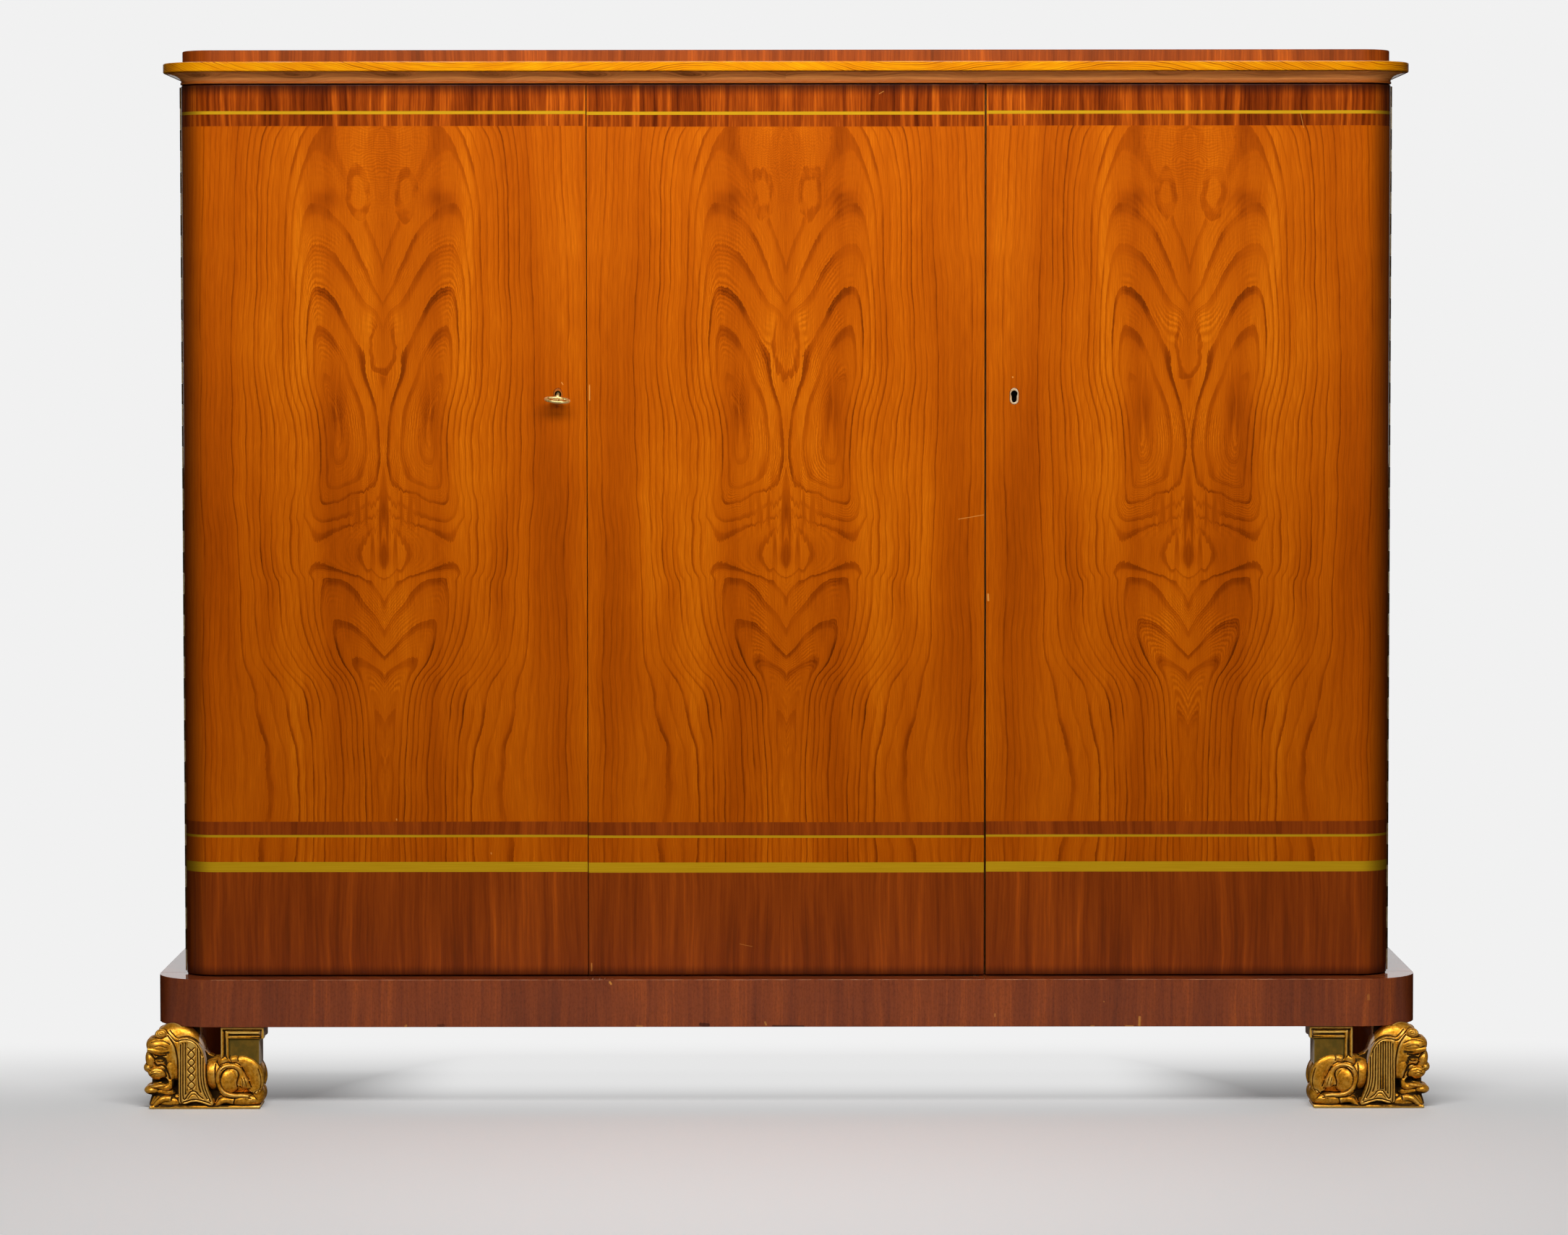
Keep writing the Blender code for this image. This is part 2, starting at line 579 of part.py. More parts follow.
def leaf(name, side, facing):
    """One leaf of a piano hinge with its knuckles, as one folded sheet.

    facing is -1 for the leaf on the door and 1 for the leaf on the case.
    """
    inner = LEAF_GAP / 2
    outer = inner + LEAF_THICKNESS
    start = BARREL_RADIUS + BARREL_CLEARANCE
    sides = 7
    low_angle = math.asin(inner / BARREL_RADIUS)
    high_angle = math.asin(outer / BARREL_RADIUS)
    sweep = 2 * math.pi + low_angle - high_angle
    angles = [high_angle + sweep * i / (sides - 1) for i in range(sides)]
    low, high = DOOR_LOW + HINGE_INSET, DOOR_TOP - HINGE_INSET
    pitch = (high - low) / KNUCKLES
    first = 0 if facing < 0 else 1
    shape = bmesh.new()

    def point(p, q, z):
        return shape.verts.new((side * (HINGE_X - p), HINGE_Y + facing * q, z))

    def edge_points(z):
        return {"out": point(start, outer, z), "in": point(start, inner, z)}

    def ring_points(z, radius):
        return [point(radius * math.cos(a), radius * math.sin(a), z) for a in angles]

    far_low = [point(LEAF_WIDTH, outer, low), point(LEAF_WIDTH, inner, low)]
    far_high = [point(LEAF_WIDTH, outer, high), point(LEAF_WIDTH, inner, high)]
    bottom, top = edge_points(low), edge_points(high)
    column = [bottom]
    for k in range(first, KNUCKLES, 2):
        knuckle_low = low + pitch * k + KNUCKLE_GAP / 2
        knuckle_high = low + pitch * (k + 1) - KNUCKLE_GAP / 2
        pair = []
        for z in (knuckle_low, knuckle_high):
            plate = edge_points(z)
            rim, bore = ring_points(z, BARREL_RADIUS), ring_points(z, BARREL_BORE)
            pair.append((plate, rim, bore))
            for i in range(sides):
                j = (i + 1) % sides
                shape.faces.new((rim[i], rim[j], bore[j], bore[i]))
            shape.faces.new((plate["out"], rim[0], rim[-1], plate["in"]))
        (plate_a, rim_a, bore_a), (plate_b, rim_b, bore_b) = pair
        for i in range(sides):
            j = (i + 1) % sides
            shape.faces.new((bore_a[i], bore_b[i], bore_b[j], bore_a[j]))
            if j:
                shape.faces.new((rim_a[i], rim_a[j], rim_b[j], rim_b[i]))
        shape.faces.new((plate_a["out"], rim_a[0], rim_b[0], plate_b["out"]))
        shape.faces.new((plate_a["in"], rim_a[-1], rim_b[-1], plate_b["in"]))
        previous = column[-1]
        shape.faces.new((previous["out"], previous["in"], plate_a["in"], plate_a["out"]))
        column += [plate_a, plate_b]
    previous = column[-1]
    shape.faces.new((previous["out"], previous["in"], top["in"], top["out"]))
    column.append(top)
    shape.faces.new([place["out"] for place in column] + [far_high[0], far_low[0]])
    shape.faces.new([place["in"] for place in column] + [far_high[1], far_low[1]])
    shape.faces.new((far_low[0], far_high[0], far_high[1], far_low[1]))
    shape.faces.new((bottom["out"], far_low[0], far_low[1], bottom["in"]))
    shape.faces.new((top["out"], far_high[0], far_high[1], top["in"]))
    return link(name, shape, BRASS)


def make_piano_hinge(side, word):
    """Full-height hinge whose knuckles show at the side of the case"""
    door_leaf = leaf(f"{word}_hinge_door_leaf", side, -1)
    leaf(f"{word}_hinge_case_leaf", side, 1)
    place = (side * HINGE_X, HINGE_Y)
    rod(f"{word}_hinge_pin", BRASS, (*place, DOOR_LOW + HINGE_INSET),
        (*place, DOOR_TOP - HINGE_INSET), HINGE_PIN_RADIUS, 7)
    return door_leaf


def make_pivot(end, word, holder, door):
    """Pin plate in the holder and shoe in the door edge. end is -1 below, 1 above"""
    long, wide, thick = PIVOT_PLATE
    door_edge = DOOR_LOW if end < 0 else DOOR_TOP
    face = BASE_TOP if end < 0 else CASE_TOP
    low_x, high_x = PIVOT_X - long + wide / 2, PIVOT_X + wide / 2
    past = thick

    def span(z_a, z_b, grow):
        low_z, high_z = sorted((z_a, z_b))
        return ((low_x - grow, PIVOT_Y - wide / 2 - grow, low_z),
                (high_x + grow, PIVOT_Y + wide / 2 + grow, high_z))

    plate = boxes(f"{word}_pivot_plate", BRASS, [span(face, face + end * thick, 0.0)])
    washer_end = door_edge + end * FIT
    pin_end = door_edge - end * PIVOT_PIN_LENGTH
    inside = face + end * thick / 2
    fuse(plate, rod(f"{word}_pivot_washer", BRASS, (PIVOT_X, PIVOT_Y, inside),
                    (PIVOT_X, PIVOT_Y, washer_end), PIVOT_WASHER_RADIUS))
    fuse(plate, rod(f"{word}_pivot_pin", BRASS, (PIVOT_X, PIVOT_Y, face + end * thick / 4),
                    (PIVOT_X, PIVOT_Y, pin_end), PIVOT_PIN_RADIUS))
    cut(holder, boxes(f"{word}_pivot_plate_recess", OAK,
                      [span(face - end * past, face + end * (thick + FIT), FIT)]))

    bore = PIVOT_PIN_RADIUS + PIVOT_CLEARANCE
    shoe = boxes(f"{word}_pivot_shoe", BRASS, [span(door_edge, door_edge - end * thick, 0.0)])
    cut(shoe, rod(f"{word}_pivot_shoe_bore", OAK, (PIVOT_X, PIVOT_Y, door_edge + end * past),
                  (PIVOT_X, PIVOT_Y, door_edge - end * (thick + past)), bore))
    cut(door, boxes(f"{word}_pivot_shoe_recess", OAK,
                    [span(door_edge + end * past, door_edge - end * (thick + FIT), FIT)]))
    cut(door, rod(f"{word}_pivot_pin_bore", OAK, (PIVOT_X, PIVOT_Y, door_edge - end * thick / 2),
                  (PIVOT_X, PIVOT_Y, pin_end - end * FIT), bore + FIT))
    return shoe


def make_edge_bolt(end, word, holder, door):
    """Sliding bolt behind a plate in the free edge of the middle door"""
    thick, wide, tall = BOLT_PLATE
    edge = DOOR_LOW if end < 0 else DOOR_TOP
    face = BASE_TOP if end < 0 else CASE_TOP
    bolt_end = edge - end * FIT
    past = thick

    def levels(z_a, z_b):
        return sorted((z_a, z_b))

    low, high = levels(edge - end * FIT, edge - end * tall)
    plate_back = MIDDLE_LEFT + thick
    plate = boxes(f"{word}_bolt_plate", BRASS,
                  [((MIDDLE_LEFT, BOLT_Y - wide / 2, low), (plate_back, BOLT_Y + wide / 2, high))])
    knob_wide, knob_tall = BOLT_KNOB
    slot_wide, slot_tall = BOLT_SLOT
    knob_near = edge - end * (BOLT_LENGTH - knob_tall)
    knob_far = edge - end * (BOLT_LENGTH - FIT)
    slot_far = knob_far - end * FIT
    slot_near = slot_far + end * slot_tall
    low, high = levels(slot_near, slot_far)
    cut(plate, boxes(f"{word}_bolt_plate_slot", OAK,
                     [((MIDDLE_LEFT - past, BOLT_Y - slot_wide / 2, low),
                       (plate_back + past, BOLT_Y + slot_wide / 2, high))]))
    bolt = rod(f"{word}_bolt", BRASS, (BOLT_X, BOLT_Y, bolt_end),
               (BOLT_X, BOLT_Y, edge - end * BOLT_LENGTH), BOLT_RADIUS)
    low, high = levels(knob_near, knob_far)
    fuse(bolt, boxes(f"{word}_bolt_knob", BRASS,
                     [((MIDDLE_LEFT + FIT, BOLT_Y - knob_wide / 2, low),
                       (BOLT_X, BOLT_Y + knob_wide / 2, high))]))

    low, high = levels(edge + end * past, edge - end * (tall + FIT))
    cut(door, boxes(f"{word}_bolt_plate_recess", OAK,
                    [((MIDDLE_LEFT - past, BOLT_Y - wide / 2 - FIT, low),
                      (plate_back + FIT, BOLT_Y + wide / 2 + FIT, high))]))
    room = BOLT_RADIUS + FIT
    low, high = levels(edge + end * past, edge - end * (BOLT_LENGTH + FIT))
    cut(door, boxes(f"{word}_bolt_channel", OAK,
                    [((MIDDLE_LEFT, BOLT_Y - room, low), (BOLT_X + room, BOLT_Y + room, high))]))
    socket = BOLT_TRAVEL - DOOR_REVEAL + 2 * FIT
    cut(holder, rod(f"{word}_bolt_socket", OAK, (BOLT_X, BOLT_Y, face - end * past),
                    (BOLT_X, BOLT_Y, face + end * socket), BOLT_RADIUS + BOLT_HOLE_CLEARANCE))
    return plate, bolt


def make_middle_door(plinth_front, cove):
    """Middle door on pivots beside the right partition, bolted at its free edge"""
    right = PARTITION_X - RIGHT_SEAM / 2
    back_y = FRONT + DOOR_THICKNESS
    outline = [(MIDDLE_LEFT, FRONT), (right, FRONT)]
    outline += arc(right - BACK_EDGE_ROUND, back_y - BACK_EDGE_ROUND, BACK_EDGE_ROUND, 0, 90, 4)
    outline.append((MIDDLE_LEFT, back_y))
    door = prism("middle_door", ELM, outline, DOOR_LOW, DOOR_TOP)
    axis = axis_empty("middle_door_axis", (PIVOT_X, PIVOT_Y, DOOR_LOW))
    pieces = [door]
    for end, word, holder in ((-1, "bottom", plinth_front), (1, "top", cove)):
        pieces.append(make_pivot(end, word, holder, door))
        plate, bolt = make_edge_bolt(end, word, holder, door)
        pieces.append(plate)
        edge = DOOR_LOW if end < 0 else DOOR_TOP
        hang([bolt], axis_empty(f"{word}_bolt_axis", (BOLT_X, BOLT_Y, edge), axis))
    hang(pieces, axis)


def make_lion_foot(side, word):
    """Crouching lion with a cloth over its mane, carved with the posts behind it"""
    tip = PLINTH_HALF + LION_REACH
    front = PLINTH_FRONT + LION_SETBACK
    top = FOOT_HEIGHT - FIT
    long, deep, tall = LION_LENGTH, LION_DEPTH, FOOT_HEIGHT

    def place(u, w, z):
        return (side * (tip - u * long), front + w * deep, z * tall)

    def block(name, u, w, z):
        a, b = place(u[0], w[0], z[0]), place(u[1], w[1], z[1])
        low = [min(a[i], b[i]) for i in range(3)]
        high = [max(a[i], b[i]) for i in range(3)]
        return boxes(name, GILT, [(low, high)])

    def swell(name, centre, radii, turn=0.0, rings=8, around=12):
        shape = bmesh.new()
        bmesh.ops.create_uvsphere(shape, u_segments=around, v_segments=rings, radius=1.0)
        size = Matrix.Diagonal((radii[0] * long, radii[1] * deep, radii[2] * tall, 1.0))
        lean = Matrix.Rotation(side * math.radians(turn), 4, "Y")
        bmesh.ops.transform(shape, matrix=Matrix.Translation(place(*centre)) @ lean @ size,
                            verts=shape.verts)
        return link(name, shape, GILT)

    def disc(name, centre, radius, w):
        shape = bmesh.new()
        a, b = place(centre[0], w[0], centre[1]), place(centre[0], w[1], centre[1])
        add_rod(shape, a, b, radius * tall, 20)
        return link(name, shape, GILT)

    foot = block(f"lion_foot_{word}", (0.045, 0.965), (0.0, 1.0), (0.0, 0.07))
    part = f"lion_{word}_"
    body = [
        block(part + "rear_post", (0.685, 0.955), (0.12, 0.70), (0.05, 0.90)),
        block(part + "rear_post_cap", (0.645, 0.990), (0.06, 0.74), (0.865, top / tall)),
        block(part + "rear_post_fillet", (0.645, 0.705), (0.06, 0.68), (0.45, 0.88)),
        block(part + "front_post", (0.165, 0.462), (0.22, 0.80), (0.30, top / tall)),
        swell(part + "trunk", (0.55, 0.50, 0.36), (0.28, 0.46, 0.30)),
        disc(part + "haunch", (0.790, 0.395), 0.335, (0.03, 0.97)),
        disc(part + "haunch_scroll", (0.705, 0.345), 0.215, (0.0, 0.99)),
        block(part + "hind_paw", (0.590, 0.985), (0.04, 0.96), (0.03, 0.20)),
        block(part + "headcloth", (0.292, 0.560), (0.045, 0.955), (0.06, 0.74)),
        disc(part + "headcloth_crown", (0.342, 0.640), 0.335, (0.10, 0.90)),
        swell(part + "skull", (0.185, 0.50, 0.700), (0.165, 0.42, 0.255)),
        swell(part + "cheeks", (0.215, 0.50, 0.450), (0.130, 0.40, 0.190)),
        swell(part + "muzzle", (0.115, 0.50, 0.440), (0.113, 0.32, 0.140), -8),
        swell(part + "lower_jaw", (0.125, 0.50, 0.215), (0.115, 0.28, 0.085), 6),
        block(part + "front_paw", (0.060, 0.330), (0.03, 0.97), (0.03, 0.145)),
    ]
    for form in body:
        fuse(foot, form)


def make_rear_leg(side, word):
    """Plain block under the back corner of the plinth"""
    outer = PLINTH_HALF - REAR_LEG_INSET
    edges = sorted((side * (outer - REAR_LEG_WIDTH), side * outer))
    back = BACK - REAR_LEG_INSET
    boxes(f"rear_leg_{word}", MAHOGANY,
          [((edges[0], back - REAR_LEG_DEPTH, 0.0), (edges[1], back, FOOT_HEIGHT - FIT))])


def make_cabinet():
    """The whole cabinet, from the floor up"""
    for side, word in ((-1, "left"), (1, "right")):
        make_lion_foot(side, word)
        make_rear_leg(side, word)
    plinth_front = make_plinth()
    make_case()
    cove = make_cornice()
    for side, word in ((-1, "left"), (1, "right")):
        axis, pieces, bolt = make_side_door(side, word)
        pieces.append(make_piano_hinge(side, word))
        hang(pieces, axis)
        bolt_start = (side * LOCK_EDGE, LOCK_BOLT_Y, LOCK_BOLT_Z)
        hang([bolt], axis_empty(f"{word}_lock_bolt_axis", bolt_start, axis))
        if side < 0:
            make_key(axis)
    make_middle_door(plinth_front, cove)


make_cabinet()
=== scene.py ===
# %% [markdown]
# # A three-door cabinet on lion feet
# The CAD model already has every board, door and hinge in its place. This lesson gives it its looks:
# book-matched veneer, bands and strings, gilding, brass and a plain studio. A few pieces whose carving
# is too fine for the CAD are modelled here and stand in for their CAD nodes.

import json
import math
from contextlib import contextmanager

import bpy
import numpy as np
from mathutils import Matrix, Vector

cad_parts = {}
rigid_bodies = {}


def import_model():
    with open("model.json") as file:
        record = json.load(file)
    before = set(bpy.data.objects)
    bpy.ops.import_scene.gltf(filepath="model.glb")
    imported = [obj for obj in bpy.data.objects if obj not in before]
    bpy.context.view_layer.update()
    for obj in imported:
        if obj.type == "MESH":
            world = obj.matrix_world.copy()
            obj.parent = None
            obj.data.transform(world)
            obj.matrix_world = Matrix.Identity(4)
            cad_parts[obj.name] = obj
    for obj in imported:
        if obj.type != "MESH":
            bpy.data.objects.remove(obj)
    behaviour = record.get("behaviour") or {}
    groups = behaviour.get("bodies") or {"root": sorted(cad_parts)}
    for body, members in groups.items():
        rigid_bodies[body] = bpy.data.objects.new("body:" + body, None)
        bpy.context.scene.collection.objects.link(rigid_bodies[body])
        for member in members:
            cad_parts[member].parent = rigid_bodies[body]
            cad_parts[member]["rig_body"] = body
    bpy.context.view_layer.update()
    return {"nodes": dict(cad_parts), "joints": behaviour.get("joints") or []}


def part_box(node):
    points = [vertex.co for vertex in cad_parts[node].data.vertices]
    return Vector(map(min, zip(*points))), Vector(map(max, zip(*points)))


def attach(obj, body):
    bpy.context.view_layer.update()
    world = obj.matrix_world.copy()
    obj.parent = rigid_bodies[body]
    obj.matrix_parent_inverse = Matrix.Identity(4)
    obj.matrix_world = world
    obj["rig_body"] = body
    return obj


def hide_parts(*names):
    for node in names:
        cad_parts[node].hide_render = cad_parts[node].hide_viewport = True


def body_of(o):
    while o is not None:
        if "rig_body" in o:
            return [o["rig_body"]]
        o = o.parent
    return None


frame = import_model()
nodes = frame["nodes"]

# %% [markdown]
# ## Places taken from the frame
# A script that repeats the sizes of the CAD goes wrong as soon as the CAD changes. So each place that
# the finishes need is read from the box of the node that it belongs to: the plane of the door fronts,
# the two seams, the heights of the doors and of the plinth.

# %% Places
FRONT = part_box("middle_door")[0].y
DOOR_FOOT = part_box("middle_door")[0].z
DOOR_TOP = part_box("middle_door")[1].z
LEFT_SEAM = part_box("left_door")[1].x
RIGHT_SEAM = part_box("right_door")[0].x
CASE_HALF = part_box("right_door")[1].x
PLINTH_LOW, PLINTH_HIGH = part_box("plinth_front_rail")
print("door front", round(FRONT, 4), "doors", round(DOOR_FOOT, 4), "to", round(DOOR_TOP, 4))


# %% [markdown]
# ## The camera
# The photograph was taken from far away with a long lens, straight on and a little above the middle of
# the cabinet, looking down by three degrees. The place and the lens come from a fit of the known sizes
# of the cabinet to the picture. The film is a hair out of level, which turns the picture by a
# twentieth of a degree.

# %% Camera
CAMERA_PLACE = (0.0002, -7.3704, 1.0556)
CAMERA_DOWN = 0.0521
CAMERA_ASIDE = 0.00047
CAMERA_LEAN = -0.00094
FILM_WIDTH = 36.0
PHOTO_WIDTH = 2169
FOCAL_PIXELS = 7164.4

bpy.ops.object.camera_add(location=CAMERA_PLACE)
camera = bpy.context.object
camera.name = "camera"
level = Matrix.Rotation(CAMERA_ASIDE, 3, "Z") @ Matrix.Rotation(math.pi / 2 - CAMERA_DOWN, 3, "X")
camera.rotation_euler = (level @ Matrix.Rotation(CAMERA_LEAN, 3, "Z")).to_euler()
camera.data.sensor_width = FILM_WIDTH
camera.data.lens = FOCAL_PIXELS / PHOTO_WIDTH * FILM_WIDTH
camera.data.clip_end = 200
bpy.context.scene.camera = camera
print("lens", round(camera.data.lens, 2), "mm")

# %% [markdown]
# ## Writing shaders down
# A finish is a small network of nodes. Joined by hand in the shader editor it is quick to try, but slow
# to read back. The helper below keeps the script short: it adds a node, joins what it is given and
# hands back the output. A number that a shader works out can be added and multiplied like any other, so
# a pattern reads like a formula. The same helper writes a node group, whose inputs and outputs have
# names, and a material, which ends in a Principled shader.

# %% Colours and numbers
def paint(red, green, blue):
    """A colour as a paint chart gives it, 0 to 255, turned into the linear light that shaders use."""
    linear = []
    for value in (red, green, blue):
        value /= 255
        linear.append(value / 12.92 if value <= 0.04045 else ((value + 0.055) / 1.055) ** 2.4)
    return (*linear, 1.0)


def grey(light):
    """A grey of so much light, from 0 to 1."""
    return (light, light, light, 1)


class Value:
    """A number that a shader works out. It adds up and multiplies like a plain number."""

    def __init__(self, recipe, socket):
        self.recipe = recipe
        self.socket = socket

    def __add__(self, other):
        return self.recipe.math("ADD", self, other)

    def __radd__(self, other):
        return self.recipe.math("ADD", other, self)

    def __sub__(self, other):
        return self.recipe.math("SUBTRACT", self, other)

    def __rsub__(self, other):
        return self.recipe.math("SUBTRACT", other, self)

    def __mul__(self, other):
        return self.recipe.math("MULTIPLY", self, other)

    def __truediv__(self, other):
        return self.recipe.math("DIVIDE", self, other)

    def __pow__(self, other):
        return self.recipe.math("POWER", self, other)

    def __abs__(self):
        return self.recipe.math("ABSOLUTE", self)

    def clamped(self):
        """The same number, kept between 0 and 1."""
        self.socket.node.use_clamp = True
        return self


# %% A node tree, written down
class Recipe:
    """A node tree that is being written down, with a short way to add each kind of node."""

    def __init__(self, tree):
        self.tree = tree

    def feed(self, socket, value):
        """Joins an output to a socket, or sets the socket when the value is a number or a colour."""
        if isinstance(value, Value):
            value = value.socket
        if isinstance(value, bpy.types.NodeSocket):
            self.tree.links.new(value, socket)
        elif value is not None:
            socket.default_value = value

    def add(self, kind, *values, **settings):
        """Adds a node, sets its properties and feeds its inputs in order."""
        node = self.tree.nodes.new(kind)
        for name, value in settings.items():
            setattr(node, name, value)
        for socket, value in zip(node.inputs, values):
            self.feed(socket, value)
        return node

    def math(self, operation, *values):
        return Value(self, self.add("ShaderNodeMath", *values, operation=operation).outputs[0])

    def most(self, first, second):
        return self.math("MAXIMUM", first, second)

    def least(self, first, second):
        return self.math("MINIMUM", first, second)

    def length(self, across, along):
        """The length of the slanting line that goes so far across and so far along."""
        return self.math("SQRT", across * across + along * along)

    def vector(self, x=0.0, y=0.0, z=0.0):
        return self.add("ShaderNodeCombineXYZ", x, y, z).outputs[0]

    def split(self, vector):
        return [Value(self, socket) for socket in self.add("ShaderNodeSeparateXYZ", vector).outputs]

    def attribute(self, name):
        """A number that the mesh carries at each of its points."""
        return Value(self, self.add("ShaderNodeAttribute", attribute_name=name).outputs["Fac"])

    def chance(self, number):
        """A random number between 0 and 1 for each whole number."""
        node = self.add("ShaderNodeTexWhiteNoise", None, number, noise_dimensions="1D")
        return Value(self, node.outputs[0])

    def noise(self, vector, scale, detail=2.0, rough=0.5):
        """Soft noise around one half, read at a vector or at three numbers."""
        node = self.add("ShaderNodeTexNoise")
        if isinstance(vector, tuple):
            vector = self.vector(*vector)
        self.feed(node.inputs["Vector"], vector)
        node.inputs["Scale"].default_value = scale
        node.inputs["Detail"].default_value = detail
        node.inputs["Roughness"].default_value = rough
        return Value(self, node.outputs["Fac"])

    def sway(self, vector, scale, reach, detail=2.0):
        """Soft noise around zero, out to about half of reach on either side."""
        return (self.noise(vector, scale, detail) - 0.5) * reach

    def step(self, value, low, high):
        """Rises smoothly from 0 at low to 1 at high. With low above high it falls."""
        node = self.add("ShaderNodeMapRange", value, interpolation_type="SMOOTHSTEP")
        falling = low > high
        node.inputs["From Min"].default_value = min(low, high)
        node.inputs["From Max"].default_value = max(low, high)
        node.inputs["To Min"].default_value = 1.0 if falling else 0.0
        node.inputs["To Max"].default_value = 0.0 if falling else 1.0
        return Value(self, node.outputs["Result"])

    def band(self, value, low, high, soft=0.0002):
        """1 between two limits and 0 outside."""
        return self.step(value, low - soft, low + soft) * self.step(value, high + soft, high - soft)

    def curve(self, value, points):
        """A curve drawn through a few points, inside 0 to 1 both ways."""
        node = self.add("ShaderNodeFloatCurve", 1.0, value)
        line = node.mapping.curves[0]
        line.points[0].location = points[0]
        line.points[1].location = points[-1]
        for point in points[1:-1]:
            line.points.new(*point)
        node.mapping.update()
        return Value(self, node.outputs[0])

    def ramp(self, value, *stops):
        """A colour for each stretch of a value, from (place, colour) stops."""
        node = self.add("ShaderNodeValToRGB", value)
        line = node.color_ramp
        line.elements[0].position, line.elements[0].color = stops[0]
        line.elements[1].position, line.elements[1].color = stops[-1]
        for place, colour in stops[1:-1]:
            line.elements.new(place).color = colour
        return node.outputs["Color"]

    def mix(self, factor, first, second):
        """Two colours mixed."""
        node = self.add("ShaderNodeMix", data_type="RGBA")
        for number, value in ((0, factor), (6, first), (7, second)):
            self.feed(node.inputs[number], value)
        return node.outputs[2]

    def place(self):
        """Where the surface is, in metres, as X, Y and Z."""
        return self.add("ShaderNodeTexCoord").outputs["Object"]

    def group(self, name, **values):
        """Puts a finished node group in, with its inputs fed by name."""
        node = self.add("ShaderNodeGroup", node_tree=bpy.data.node_groups[name])
        for label, value in values.items():
            self.feed(node.inputs[label], value)
        return {socket.name: Value(self, socket) for socket in node.outputs}

    def relief(self, height, depth, strength=1.0):
        """A bump of some metres in depth, as the normal that it makes."""
        node = self.add("ShaderNodeBump")
        for label, value in (("Strength", strength), ("Distance", depth), ("Height", height)):
            self.feed(node.inputs[label], value)
        return node.outputs["Normal"]


# %% Groups and materials
def new_group(name, inputs, outputs):
    """Starts a node group. Returns its recipe, its inputs by name, and its end node's sockets."""
    tree = bpy.data.node_groups.new(name, "ShaderNodeTree")
    for label, value in inputs.items():
        socket = tree.interface.new_socket(label, in_out="INPUT", socket_type="NodeSocketFloat")
        socket.default_value = value
    for label, kind in outputs.items():
        tree.interface.new_socket(label, in_out="OUTPUT", socket_type="NodeSocket" + kind)
    recipe = Recipe(tree)
    start = tree.nodes.new("NodeGroupInput")
    end = tree.nodes.new("NodeGroupOutput")
    taken = {socket.name: Value(recipe, socket) for socket in start.outputs}
    return recipe, taken, end.inputs


def new_material(name):
    """Starts a material. Returns its recipe and its Principled shader's sockets."""
    material = bpy.data.materials.new(name)
    material.use_nodes = True
    shader = material.node_tree.nodes["Principled BSDF"]
    return material, Recipe(material.node_tree), shader.inputs


def dress(thing, material):
    """Gives a thing one material."""
    thing.data.materials.clear()
    thing.data.materials.append(material)


# %% [markdown]
# ## The studio
# The cabinet stood on pale paper in front of a pale wall. One large soft lamp hung high in front of it,
# so the doors are brightest near the top and fall off to half the light at the plinth. The room behind
# the camera was dark, which is why the varnish stays deep and saturated. Real walls would stand in the
# way of a camera that walks round the cabinet, so the paper is a wide floor that fades into the colour
# of the world, and the world is pale for the camera and for reflections that look at the backdrop. The
# paper in front is pale for the camera alone: the varnish mirrors a dark floor there.

# %% World and floor
WALL = 0.88
PAPER = 0.88
PAPER_GLOW = 0.12
PAPER_BOUNCE = 0.35
ROOM_LIGHT = 0.08
ROOM_MIRRORED = 0.02


def build_world():
    """A dark room with a pale backdrop that only the camera and some mirrored rays see."""
    world = bpy.data.worlds.new("studio")
    bpy.context.scene.world = world
    world.use_nodes = True
    recipe = Recipe(world.node_tree)
    background = world.node_tree.nodes["Background"]
    rays = recipe.add("ShaderNodeLightPath").outputs
    ahead = recipe.split(recipe.add("ShaderNodeTexCoord").outputs["Generated"])[1]
    mirrored = recipe.most(rays["Is Glossy Ray"], rays["Is Transmission Ray"])
    backdrop = mirrored * recipe.step(ahead, 0.86, 0.97)
    seen = recipe.most(rays["Is Camera Ray"], backdrop)
    light = mirrored * (ROOM_MIRRORED - ROOM_LIGHT) + ROOM_LIGHT
    background.inputs["Color"].default_value = grey(1)
    recipe.feed(background.inputs["Strength"], recipe.most(seen * WALL, light))


def build_floor():
    """The paper: lit by the lamps near the cabinet, and as bright as the backdrop far away. Behind the
    cabinet and between the feet it glows for the camera too: painted light over the cabinet's shadow.
    """
    bpy.ops.mesh.primitive_circle_add(vertices=96, radius=40, fill_type="NGON", location=(0, 0, 0))
    floor = bpy.context.object
    floor.name = "paper_floor"
    material, recipe, shader = new_material("paper")
    x, y = recipe.split(recipe.place())[:2]
    away = recipe.math("SQRT", x**2.0 + y**2.0)
    # painted light: behind the cabinet and between its feet the paper glows for the camera, which hides the
    # cabinet's shadow there
    far = recipe.most(recipe.step(away, 1.2, 4.5), recipe.step(y, -0.25, 0.5))
    between = recipe.step(abs(x), 0.76, 0.45) * recipe.step(y, -0.35, 0.05)
    far = recipe.most(far, between * 0.85)
    camera_ray = recipe.add("ShaderNodeLightPath").outputs["Is Camera Ray"]
    glow = (far * (WALL - PAPER_GLOW) + PAPER_GLOW) * camera_ray
    bounce = recipe.mix(camera_ray, grey(PAPER_BOUNCE), grey(PAPER))
    tint = recipe.mix(far, bounce, grey(0))
    recipe.feed(shader["Base Color"], tint)
    shader["Roughness"].default_value = 0.9
    shader["Specular IOR Level"].default_value = 0.0
    shader["Emission Color"].default_value = grey(1)
    recipe.feed(shader["Emission Strength"], glow)
    dress(floor, material)


build_world()
build_floor()
print("world and floor made")

